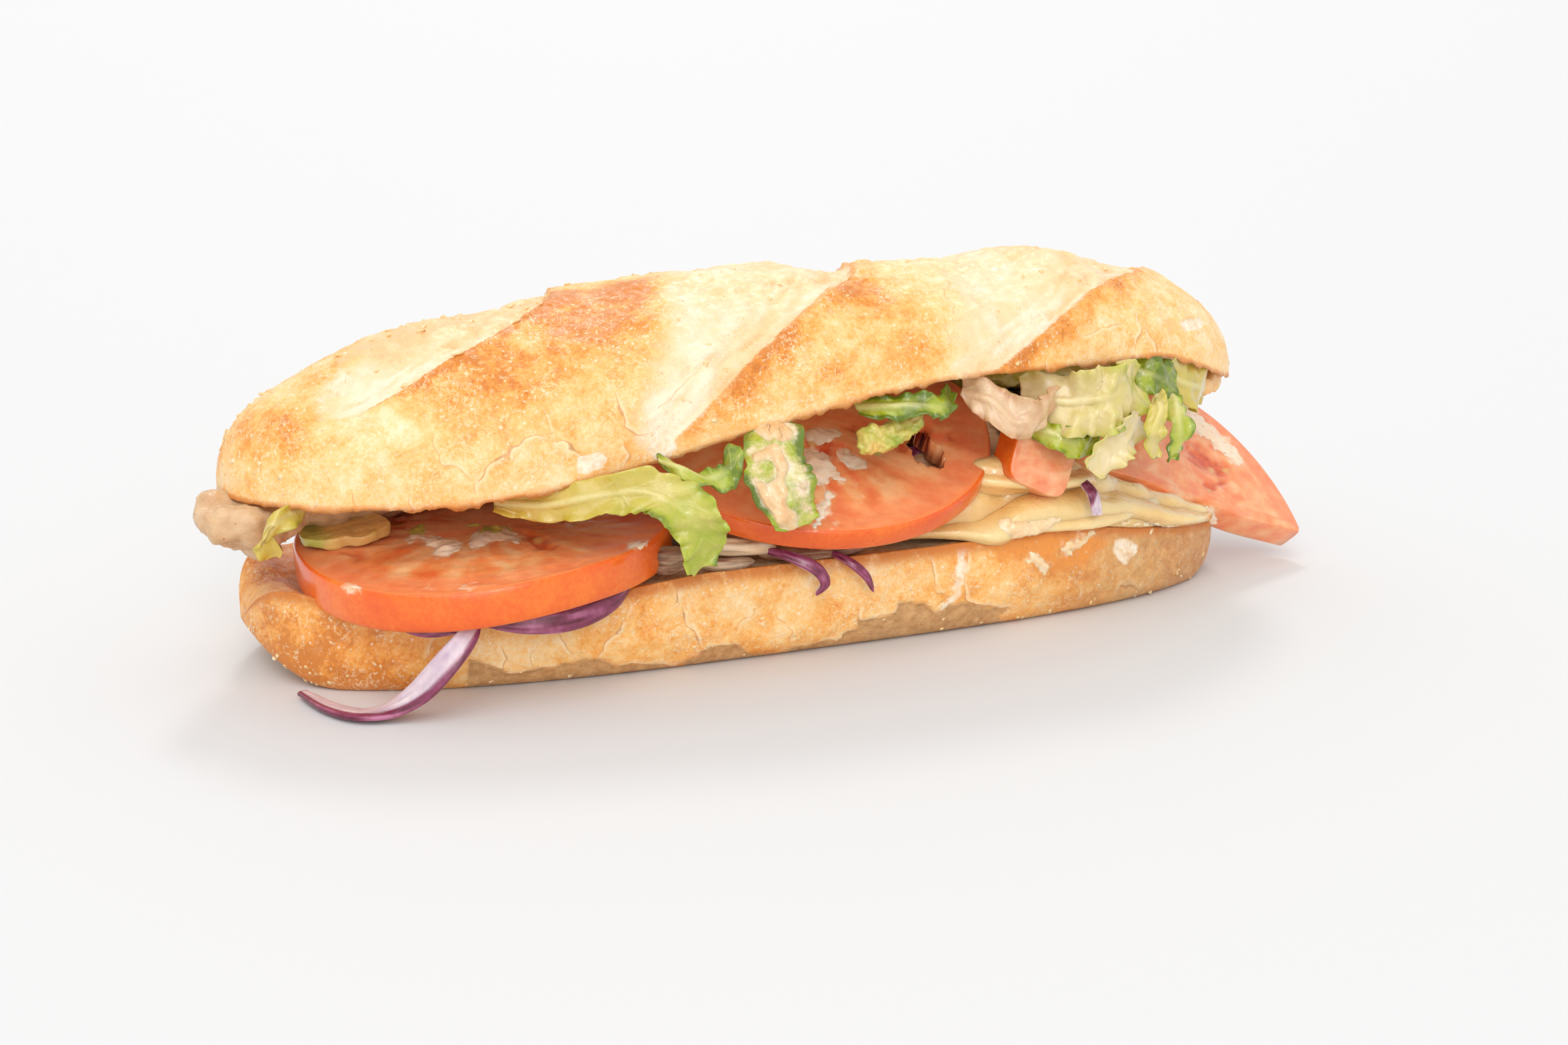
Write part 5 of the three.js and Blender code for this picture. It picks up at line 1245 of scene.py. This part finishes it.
SLICES = {
    "tomato_front": front_slice(),
    "tomato_drooping": drooping_slice(),
    "tomato_leaning": leaning_slice(),
    "tomato_wedge": wedge(),
}
LEAVES = {
    "lettuce_left_end": dict(
        path=[(-94, -16, 33), (-99.7, -20, 32.4), (-102, -20.6, 30), (-100, -19, 26)],
        sides=[(0, 0.5, 1), (0.3, 0.2, 1), (1, -0.4, 0.2)], width=5, tone=(0.5, 0.7), ochre=(0.5, 0.95)),
    # lettuce_hanging is ochre at its start as painted shade, under the upper half
    "lettuce_hanging": dict(
        path=[(-62, -26, 33.4), (-54.5, -32, 34.2), (-47, -36.5, 35.6), (-40.5, -40.5, 37), (-35.4, -43.4, 36),
              (-32.4, -45, 32.4), (-29.6, -45, 27.8), (-29.6, -44, 22.8)],
        sides=[(0.2, 0.5, 0.9), (0.3, 0.1, 1), (0.9, 0.1, 0.5), (1, -0.1, 0.2), (1, 0, 0.3)],
        width=11, start=0.6, ruffle=1.2, waves=3, cup=0.8, columns=140, rows=42, tone=(0.5, 0.68), ochre=(1.0, -0.4)),
    "lettuce_curled": dict(
        path=[(-34.5, -35, 41), (-32, -40, 39.6), (-27, -42, 37.6), (-23.6, -42, 39.3), (-21.2, -38.5, 43)],
        sides=[(0.1, 1, 0.5), (0, 1, 0.5), (-0.3, 0.8, 0.6), (-0.6, 0.7, 0.2)], width=5.5, ruffle=0.6,
        tone=(0.75, 0.95)),
    "lettuce_dressed": dict(
        path=[(-12, -34, 45), (-15, -41.8, 41.3), (-15.2, -44.3, 37.4), (-13.3, -46, 33.3), (-12.6, -46.5, 29.3)],
        sides=[(1, 0, 0.05), (1, -0.1, 0.1), (1, 0, 0.2)], width=11.5, start=1.15, ruffle=0.9, frill=0.4,
        blistered=0.25, tone=(0.85, 0.8), columns=110, rows=46),
    # lettuce_dark takes the darkest tones: painted shade on a leaf that sits in shade
    "lettuce_dark": dict(
        path=[(7, -30, 45.6), (12.6, -35, 46.8), (18, -36.4, 46.8), (22, -36.4, 46.6), (26, -31.5, 48.4)],
        sides=[(0, 0.9, 0.7), (0.1, 0.7, 0.8), (-0.2, 0.6, 0.8)], width=5.5, ruffle=0.7, tone=(0.9, 1)),
    "lettuce_translucent": dict(
        path=[(29, -30, 48.4), (31.8, -36, 46.4), (36.3, -38, 43.3), (41, -38, 43), (46, -34, 46.2)],
        sides=[(0.4, 0.5, 0.9), (0.4, 0.2, 0.9), (0.2, 0.1, 1)], width=8, ruffle=0.9, tone=(0.1, 0.3)),
    "lettuce_pale": dict(
        path=[(43, -28, 45), (48.5, -36, 44.6), (54, -39, 45.2), (60, -38, 46), (67, -32, 47)],
        sides=[(0.3, 0.3, 1), (0.1, 0.25, 1), (-0.1, 0.2, 1)], width=13, ruffle=2.1, waves=3, cup=1,
        blistered=1.0, columns=110, rows=46, tone=(0.3, 0.55)),
    "lettuce_wedge": dict(
        path=[(41, -32.5, 41), (45, -37.4, 39), (49.4, -38.8, 36.8), (56, -36.4, 37)],
        sides=[(0.2, 0.5, 1), (0.3, 0.3, 1)], width=5.5, ruffle=0.6, tone=(0.7, 0.8)),
    "lettuce_rib": dict(
        path=[(65, -36, 40.4), (60, -40, 38.2), (55.4, -41.4, 35.6), (51.4, -41, 32.2)],
        sides=[(0.5, 0.2, -0.8), (0.6, 0, -0.8), (0.75, 0, -0.6)], width=7.5, ruffle=0.7, cup=0.8, tone=(0.15, 0.4)),
    "lettuce_yellow": dict(
        path=[(71, -33.5, 44.4), (67, -39.4, 42.4), (65, -41.4, 38.6), (66.4, -41, 33.4)],
        sides=[(1, 0.1, 0.3), (1, -0.2, 0.2), (0.9, 0.4, 0)], width=4.6, ruffle=0.9, waves=3, tone=(0.35, 0.4),
        ochre=(0.5, 0.4)),
    "lettuce_green_edge": dict(
        path=[(75, -31, 43), (73.6, -37, 40.4), (73, -39.2, 36.6), (71.2, -38.6, 32)],
        sides=[(1, 0.1, 0.1), (1, 0.1, 0.1)], width=5.4, ruffle=0.8, tone=(0.65, 0.85)),
    "lettuce_tucked": dict(
        path=[(65, -25, 49), (69, -29, 48.4), (73.4, -30.8, 47), (78.5, -28.6, 45.4)],
        sides=[(0.1, 0.6, 0.8), (0.1, 0.5, 0.9), (0.3, 0.4, 0.9)], width=9.5, ruffle=0.6, tone=(0.85, 1)),
    "lettuce_right_end": dict(
        path=[(76, -27, 47), (82, -26, 44.8), (87, -23, 42.4), (92, -18, 41.8), (95, -10, 42.6)],
        sides=[(0.2, 0.2, 1), (0.3, 0.2, 1), (0.1, 0.3, 1)], width=9.5, tone=(0.5, 0.7), ochre=(0.4, 0.9)),
    "lettuce_back_left": dict(
        path=[(-72, 27, 27.4), (-66, 35, 28), (-55, 39.5, 27), (-45, 38, 24.2)],
        sides=[(0, 0.3, 1), (0, 0.5, 1), (0.1, 0.4, 1)], width=8, ruffle=1.1),
    "lettuce_back_folded": dict(
        path=[(-39, 30, 28.6), (-35, 37.6, 29.4), (-28, 40.4, 27), (-24, 39.4, 21.4)],
        sides=[(0.2, 0.4, 1), (0.5, 0.2, 0.8), (1, 0.1, 0.2)], width=8.4),
    "lettuce_back_middle": dict(
        path=[(4, 37.4, 31.6), (8, 39.6, 30), (13, 40.6, 26.8), (15, 40, 21.8)],
        sides=[(0.6, 0.1, 0.8), (1, -0.2, 0.3), (1, 0, 0.2)], width=10, ruffle=1.2),
    "lettuce_back_long": dict(
        path=[(23, 37, 33.4), (33, 38.4, 34.6), (43, 38.6, 33.6), (51, 38, 29.4)],
        sides=[(-0.2, 0.2, 1), (0, 0.3, 1), (0.4, 0.2, 1)], width=7, ruffle=1.1, tone=(0.2, 0.4)),
    "lettuce_back_right": dict(
        path=[(85, 24, 35), (78, 32.5, 34.4), (67, 37, 34.4), (57, 37.6, 36)],
        sides=[(0, 0.3, 1), (0, 0, 1), (0, 0.4, 1)], width=8, ruffle=1.1),
    "lettuce_back_fringe": dict(
        path=[(66, 31, 30), (70, 35.6, 28.4), (73, 36.6, 24.6), (73, 35.4, 20)],
        sides=[(1, 0.1, 0.4), (1, 0, 0.2), (1, -0.2, 0)], width=8.6),
}
LEAF_LOOKS = {
    "lettuce_pale": (PALE_LEAF, "lettuce_pale"),
    "lettuce_rib": (PALE_LEAF, "lettuce_pale"),
    "lettuce_translucent": (CLEAR_LEAF, "lettuce_pale"),
}
ONIONS = {
    "onion_long": dict(
        path=[(-68.5, -36.4, 16.4), (-71.5, -40, 14.4), (-75.8, -41, 10.2), (-80.6, -39.4, 4.8), (-85.2, -37.6, 1.8),
              (-89.6, -36, 1.2), (-93.5, -31, 1.1), (-97, -20.5, 1.2)],
        sides=[(-0.5, 0.3, 0.8), (-0.7, 0.4, 0.4), (-0.4, 0.8, 0.3), (0, 1, 0.05), (0.8, 0.6, 0), (1, 0.3, 0)],
        height=5.4, blunt=0.25, skin_edge=0.02, low_edge=0.34),
    "onion_slice": dict(
        path=[(-67, -36.2, 15), (-60, -39.4, 15), (-52, -39.8, 15.3), (-44.5, -37.6, 16.8), (-39.6, -34, 18.9)],
        sides=[(0, 0.25, 1)], height=4.6, wall=2),
    "onion_sliver": dict(path=[(-83, -34, 16), (-79, -37.4, 15.2), (-75, -38.2, 15.1), (-70, -38.4, 15.5)],
                         sides=[(0, 0.3, 1)], height=2),
    "onion_curled": dict(
        path=[(-13.5, -30, 21), (-9, -36, 20.4), (-4.6, -38.2, 18), (-3, -38, 15.1), (-4.8, -37.8, 13.2)],
        sides=[(0.1, 0.4, 1), (0.5, 0.3, 0.9), (1, 0, 0.1), (0.5, 0.2, -0.9)], height=2.5, wall=1.0, blunt=0.08,
        skin_edge=0.3),
    "onion_thin": dict(
        path=[(-1.5, -31, 20.4), (2.6, -36.6, 18.4), (5.6, -37.8, 15.6), (7.2, -37.6, 12.4)],
        sides=[(0.3, 0.4, 1), (0.8, 0.2, 0.6)], height=1.9, wall=0.9, blunt=0.1, skin_edge=0.1, low_edge=0.2),
    "onion_short": dict(path=[(54.8, -33, 28), (55.4, -35.8, 26), (56.3, -36.4, 21.8)], sides=[(1, 0, 0)],
                        height=2.6, wall=1.1, blunt=0.8, skinned=0.62),
    "onion_inner": dict(path=[(17, -16.4, 32), (24, -15.6, 32.4), (31, -15.2, 32.2)], sides=[(0, 0.5, 1)], height=2.6),
    "onion_back": dict(
        path=[(-38, 31, 22), (-30, 37, 20.6), (-20, 38.6, 19.6), (-10, 37, 20.6)],
        sides=[(0, 0.3, 1), (0, 0, 1)], height=4.6),
}
CHICKENS = {
    "chicken_left": chicken(
        [(-111.5, -8, 32.2), (-103, -5, 29.9), (-92, 5, 29.2), (-72, 13, 29.2), (-39, 15, 30.6)],
        lambda u: mix(8, 14, ease(0, 0.5, u)), lambda u: mix(4.6, 3.7, ease(0.2, 0.6, u)), 0.7, grilled=0.0),
    "chicken_middle": chicken(
        [(-26.4, 1, 25), (-16, 1, 26), (0, 2, 26.4), (14, 2, 26.4), (26, 3, 26)],
        30, lambda u: mix(6, 7.4, ease(0, 0.4, u)), 2.9, grilled=0.55),
    "chicken_right": chicken(
        [(28, 6, 31), (42, 6, 31.2), (60, 9, 31), (78, 13, 30), (95, 15, 28.6)],
        lambda u: mix(24, 13, ease(0.3, 0.8, u)), 6.8, 5.1),
}
# Strips of pulled chicken between the two big slices, in the torn hole and at the left end; two under the drooping
# slice are darkened as painted shade
SHREDS = {
    "dark_strip": shred([(-37.5, -30, 20.4), (-32.6, -32.4, 20), (-28, -33, 20.6)], 3, 2.6, 1.3, grey=0.9, char=0.6),
    "grey_strip": shred([(-38, -28, 23), (-33, -31.6, 22.2), (-27.6, -32, 21.6)], 3.4, 2.8, 2.1, grey=0.9, char=0.3),
    # Darkened as painted shade of the recess under the drooping slice
    "recess_shade_strip": shred([(-29, -31, 20.4), (-22, -33, 19.8), (-15, -33, 19.6)], 2.8, 2.2, 3.7, grey=0.6, char=0.8),
    "cream_strip": shred([(-26, -29, 23), (-18, -31.4, 22), (-10, -31.6, 21.2)], 3, 2.6, 4.9, char=0.4),
    "hole_strip": shred([(21, -17.5, 28.4), (28, -16.4, 29), (36, -15, 28.4)], 7.5, 5.4, 6.9, grey=0.3, white=0.5),
    # Darkened as painted shade of the recess under the drooping slice
    "low_recess_shade_strip": shred([(-14, -31.4, 20.6), (-4, -33, 20), (8, -32.6, 20)], 2.6, 2.2, 5.3, grey=1, char=1),
    "end_strip": shred([(-105.5, -6, 29.4), (-103, -8.5, 27.2), (-100, -9.6, 25.2), (-96.6, -8.6, 24)], 6, 4.4, 6.1,
                       white=1),
}
CHEESES = {
    "cheese_lower": cheese(slab(
        [(27.4, -1, 21.8), (42, -1, 22), (60, -1, 21.2), (80, 0, 18.4), (95, 1, 15.6)],
        lambda u: mix(34, 20, ease(0.4, 0.95, u)), lambda u: mix(3.2, 2.8, u), (0, 1, 0), 0.62, 0.6, 1.1, 110, 76,
        sag=1.5), 11),
    "cheese_upper": cheese(slab(
        [(27, -22, 29), (36, -27, 29.6), (47, -28, 28.6), (61, -27, 26.2)],
        6.6, lambda u: mix(4, 2.4, u), (0, 1, 0), 0.8, 0.8, 3.3, 100, 72), 12),
}


def avocado_slice():
    place = placer((-85, -6, 26), 0.8 * unit([0.95, -0.3, 0.05]), unit([0.3, 0.93, 0.14]), unit([-0.08, -0.12, 1]))
    shape = wafer(lambda a: 7.8 * (1 + 0.24 * np.cos(2 * a) + 0.06 * np.cos(3 * a + 1) + 0.04 * np.cos(7 * a)),
                  1.9, 0.3, place, 120, 30)
    p = shape.points
    shape.mark(tone=0.1 + 0.75 * ease(520, 455, seen(p)[:, 0]) + 0.2 * noise(p, 3, 77))
    return shape.push(0.35 * layers(p, 3, 3, 70))


def avocado_mash():
    shape = slab([(5.7, -33.5, 39.6), (9.8, -34.2, 40.4), (14.4, -34, 42), (19, -33.4, 44.4)],
                 3.2, 1.8, (0.2, 0.75, 0.62), 0.9, 0.7, 6.2, 90, 60)
    p = shape.points
    shape.mark(tone=0.66 + 0.4 * noise(p, 2.5, 71))
    return shape.push(0.7 * layers(p, 2.2, 3, 72) + 0.3 * noise(p, 0.8, 76))


def lettuce_bed():
    shape = slab([(45, 9, 41), (56, 9, 41.4), (70, 9.5, 41.2), (81, 11, 39.8), (91, 13, 37.4)],
                 lambda u: mix(18, 11, ease(0.4, 1, u)), 2.8, (0, 1, -0.18), 0.8, 1.1, 7.7, 120, 80)
    p = shape.points
    shape.mark(tone=0.45 + 0.35 * noise(p, 6, 73), vein=ease(0.2, 0.05, np.abs(noise(p * [1, 1, 2], 5, 74))), ochre=0.2)
    return shape.push(0.9 * layers(p * [1, 1, 2], 4, 3, 75))


def end_flap():
    """A torn lip of crust under the right end of the upper half."""
    shape = slab([(86, -21.5, 41), (93, -17, 41), (98.6, -11.6, 40.6), (102.4, -5.6, 40.2), (103.4, 1, 40)],
                 lambda u: mix(2.4, 1.5, u), 1.2, (0, 0, 1), 0.7, 0.5, 8.1, 70, 40)
    p = shape.points
    shape.push(0.3 * layers(p, 1.6, 3, 62))
    return shape.mark(brown=0.55 + 0.2 * noise(p, 4, 63))


# Dressing and mash, by where they show in the picture
SAUCE_ON = {
    "tomato_front_slice": [
        [(600, 816), (613, 805), (625, 793), (636, 800), (650, 803), (668, 806), (690, 812), (701, 809), (692, 820),
         (682, 830), (670, 839), (652, 833), (645, 820), (630, 809), (616, 814)],
        [(700, 812), (711, 799), (735, 794), (752, 786), (765, 796), (784, 806), (778, 815), (762, 812), (745, 811),
         (726, 819), (707, 823)],
        [(936, 823), (950, 814), (968, 809), (976, 813), (962, 822), (944, 828)],
        [(511, 874), (526, 878), (548, 884), (546, 890), (526, 885)],
        [(640, 879), (648, 878), (648, 882), (641, 883)],
        [(676, 880), (694, 875), (710, 876), (698, 882)],
    ],
    "tomato_drooping_slice": [
        [(1203, 650), (1232, 640), (1256, 644), (1264, 654), (1243, 662), (1226, 666), (1212, 662)],
        [(1200, 672), (1224, 674), (1245, 684), (1252, 702), (1266, 716), (1282, 728), (1262, 723), (1246, 713),
         (1240, 726), (1232, 733), (1214, 716), (1204, 700)],
        [(1250, 676), (1270, 671), (1287, 680), (1302, 692), (1298, 701), (1284, 705), (1268, 696), (1254, 686)],
        [(1226, 760), (1238, 736), (1252, 740), (1244, 758), (1236, 778), (1224, 796), (1218, 790)],
        [(1248, 790), (1252, 784), (1258, 787), (1253, 793)],
        [(1287, 754), (1291, 749), (1295, 753), (1290, 757)],
        [(1275, 765), (1279, 760), (1282, 764), (1278, 768)],
    ],
    "tomato_leaning_slice": [
        [(1766, 600), (1786, 610), (1827, 648), (1856, 676), (1868, 697), (1852, 697), (1836, 680), (1808, 660),
         (1779, 636), (1764, 616)],
        [(1774, 772), (1788, 762), (1806, 758), (1822, 766), (1822, 786), (1800, 788), (1780, 786)],
    ],
    "cheese_drape": [
        [(1496, 784), (1502, 774), (1518, 780), (1546, 782), (1574, 777), (1602, 778), (1604, 786), (1580, 792),
         (1566, 800), (1560, 812), (1520, 812), (1504, 800)],
        [(1640, 776), (1690, 780), (1740, 786), (1780, 792), (1776, 798), (1730, 794), (1680, 788)],
    ],
    "bun_bottom_crust": [
        [(1546, 822), (1556, 828), (1566, 840), (1574, 852), (1572, 862), (1560, 864), (1552, 848), (1544, 836)],
        [(1592, 812), (1610, 812), (1622, 800), (1646, 796), (1644, 806), (1628, 816), (1614, 830), (1600, 834),
         (1594, 824)],
        [(1530, 836), (1544, 838), (1546, 846), (1532, 846)],
    ],
}
MASH_ON = {
    "tomato_front_slice": [
        [(612, 800), (622, 788), (636, 790), (640, 800), (626, 806)],
        [(706, 802), (722, 793), (744, 788), (760, 786), (768, 796), (748, 804), (722, 808)],
    ],
    "tomato_drooping_slice": [
        [(1275, 658), (1285, 646), (1300, 650), (1320, 640), (1335, 650), (1348, 660), (1336, 672), (1322, 681),
         (1302, 676), (1286, 664)],
        [(1336, 630), (1350, 613), (1364, 618), (1374, 626), (1368, 640), (1356, 648), (1344, 640)],
    ],
}


def film(host, outlines, seed, strength=0.8):
    """How much of a thin film of dressing lies round the outlines, on the side that faces the picture."""
    p = host.points
    depth = deepest(seen(p) + 9 * wander(p, 2.4, seed, 1.1), outlines) + 5 * noise(p, 1.3, seed + 2)
    return strength * ease(0, 0.1, host.facing()) * ease(-9, 9, depth)


def smear(host, outlines, thick, seed):
    """A closed shell of something soft on the side of a host that faces the picture."""
    p = host.points
    depth = deepest(seen(p) + 6 * wander(p, 1.6, seed) + 5 * wander(p, 0.8, seed + 3), outlines)
    lump = 1 + 0.45 * layers(p, 1.8, 2, seed + 2)
    height = thick * lump * ease(1, 13, depth) + 0.06 - 0.4 * ease(3, -3, depth)
    return patch(host, np.where(host.facing() > 0.08, height, -1))


def chips(host, count, size, seed, steepest, chance):
    """Thin flakes of crust that stand on a host, scattered by a chance at its points."""
    rng = np.random.default_rng(seed)
    normals = host.normals()
    a = circle(8)
    made = []
    for k in rng.choice(len(host.points), count, p=chance / chance.sum()):
        normal = normals[k]
        along = unit(np.cross(normal, rng.normal(size=3)))
        side = np.cross(normal, along)
        slope = rng.uniform(0.05, steepest)
        across = along * math.cos(slope) + normal * math.sin(slope)
        face = np.cross(side, across)
        reach = size * rng.uniform(0.5, 1.3) * rng.uniform(0.6, 1.2, len(a))
        flat = (reach * 0.7 * np.cos(a))[:, None] * side + (reach * np.sin(a) + 0.5 * reach.mean())[:, None] * across
        thick = 0.12 * face * rng.uniform(0.8, 1.6)
        base = host.points[k] - 0.15 * normal
        peak = base + 0.5 * reach.mean() * across + 0.12 * size * face
        made.append(loft(np.stack([base + flat + thick, base + flat - thick]), peak + thick, peak - thick))
    return joined(made)


UPPER, LOWER = upper_roll(), lower_roll()
LOWER.mark(film=film(LOWER, SAUCE_ON["bun_bottom_crust"], 290, 0.6))
piece("bun_bottom_crust", LOWER, CRUST, ["bun_bottom"])
piece("bun_top_crust", UPPER, CRUST, ["bun_top"])
for k, (name, shape) in enumerate(SLICES.items()):
    if name + "_slice" in SAUCE_ON:
        shape.mark(film=film(shape, SAUCE_ON[name + "_slice"], 260 + 3 * k))
    piece(name + "_slice", shape, TOMATO, [name])
LEAF_SHAPES = {name: leaf(seed=10 + 7 * k, **plan) for k, (name, plan) in enumerate(LEAVES.items())}
DRESSED = LEAF_SHAPES["lettuce_dressed"]
p = DRESSED.points
cover = ease(0.5, 0.34, np.abs(DRESSED.marks["across"])) * ease(23, 30, p[:, 2]) * (0.62 + 0.5 * noise(p, 2.8, 241))
DRESSED.mark(film=cover)
for name, shape in LEAF_SHAPES.items():
    material, slot = LEAF_LOOKS.get(name, (LEAF, "lettuce"))
    piece(name + "_leaf", shape, material, [name])
for k, (name, plan) in enumerate(ONIONS.items()):
    piece(name + "_strip", onion(seed=80 + k, **plan), ONION, [name])
for name, shape in CHICKENS.items():
    piece(name + "_meat", shape, CHICKEN, [name])
for name, shape in CHEESES.items():
    piece(name + "_melt", shape, CHEESE, [name])
DRAPE = cheese_drape()
piece("cheese_drape", DRAPE, CHEESE)
piece("avocado_slice_flesh", avocado_slice(), AVOCADO, ["avocado_slice"])
piece("avocado_mash_flesh", avocado_mash(), AVOCADO, ["avocado_mash"])
piece("lettuce_bed_shreds", lettuce_bed(), LEAF, ["lettuce_bed"])
for name, shape in SHREDS.items():
    piece("chicken_" + name, shape, CHICKEN)
piece("crust_end_flap", end_flap(), CRUST)

# Flakes are likeliest in the slashes and at the left end, along the brink that shows, and at the foot
x, _, z = UPPER.points.T
in_slashes = (0.1 + 0.5 * UPPER.marks["pale"] + 0.6 * ease(-92, -104, x)) * (1 - UPPER.marks["face"])
on_brink = ease(0.22, 0.05, np.abs(UPPER.facing())) * ease(20, -40, x) * (z > 40)
z = LOWER.points[:, 2]
at_foot = (z < 6) * (z > 0.8) + 0.12 * (1 - LOWER.marks["face"]) * (z > 2)
piece("crust_flakes_upper", chips(UPPER, 240, 0.6, 301, 0.4, in_slashes), FLAKES)
piece("crust_tufts_upper", chips(UPPER, 110, 1.0, 303, 0.45, on_brink), FLAKES)
piece("crust_flakes_lower", chips(LOWER, 160, 0.55, 302, 0.6, at_foot), FLAKES)

HOSTS = {name + "_slice": shape for name, shape in SLICES.items()}
HOSTS.update(cheese_drape=DRAPE, bun_bottom_crust=LOWER)
for k, (name, outlines) in enumerate(SAUCE_ON.items()):
    # Sauce on the slices takes the lighter copy: painted light
    thick, look = (0.5, SAUCE_PAINTED_LIGHT) if "tomato" in name else (0.9, SAUCE)
    piece("sauce_on_" + name, smear(HOSTS[name], outlines, thick, 200 + k), look)
for k, (name, outlines) in enumerate(MASH_ON.items()):
    mash = smear(HOSTS[name], outlines, 1.2, 220 + k)
    piece("mash_on_" + name, mash.mark(tone=0.7 + 0.3 * noise(mash.points, 2, 221)), AVOCADO)
keep = ease(0.3, 0.75, cover - 0.1 + 0.45 * noise(p, 3, 241))
pool = patch(DRESSED, 0.45 * (1 + 0.25 * layers(p, 2.6, 2, 240)) * keep - 0.3 * (1 - keep))
# The sauce on the dressed leaf takes the darker copy: painted shade
piece("sauce_on_lettuce_dressed_leaf", pool, SAUCE_PAINTED_SHADE)


# Stage
def floor_and_light():
    bpy.ops.mesh.primitive_plane_add(size=30)
    floor = bpy.context.object
    floor.name = "floor"
    p = Paint("floor", roughness=0.7)
    p.shader.inputs["Base Color"].default_value = (0.71, 0.71, 0.71, 1)
    floor.data.materials.append(p.material)
    world = bpy.data.worlds.new("studio")
    world.use_nodes = True
    world.node_tree.nodes["Background"].inputs[0].default_value = (1, 1, 1, 1)
    world.node_tree.nodes["Background"].inputs[1].default_value = 0.76
    bpy.context.scene.world = world
    for name, way, power, spread_angle in (
        ("key", (0.4, 0.45, -1.0), 0.8, 50),
        ("back", (-0.2, -0.75, -1.0), 0.3, 80),
        ("fill", (0.25, 0.9, -0.42), 0.72, 50),
        ("shine", (0.12, 0.85, -0.5), 0.24, 9),
        ("glint", (-0.28, -0.75, -0.8), 0.55, 12),
    ):
        light = bpy.data.lights.new(name, "SUN")
        light.energy = power
        light.angle = math.radians(spread_angle)
        lamp = bpy.data.objects.new(name, light)
        lamp.rotation_mode = "QUATERNION"
        lamp.rotation_quaternion = Vector(way).to_track_quat("-Z", "Y")
        bpy.context.scene.collection.objects.link(lamp)


def camera():
    lens = bpy.data.cameras.new("camera")
    lens.lens = 50
    lens.sensor_width = 36
    lens.clip_start, lens.clip_end = 0.02, 60
    view = bpy.data.objects.new("camera", lens)
    turn = np.eye(4)
    turn[:3, 0], turn[:3, 1], turn[:3, 2], turn[:3, 3] = RIGHT, UP, -AHEAD, EYE * MM
    view.matrix_world = Matrix(turn.tolist())
    bpy.context.scene.collection.objects.link(view)
    bpy.context.scene.camera = view
    bpy.context.scene.view_settings.view_transform = "Standard"


floor_and_light()
camera()
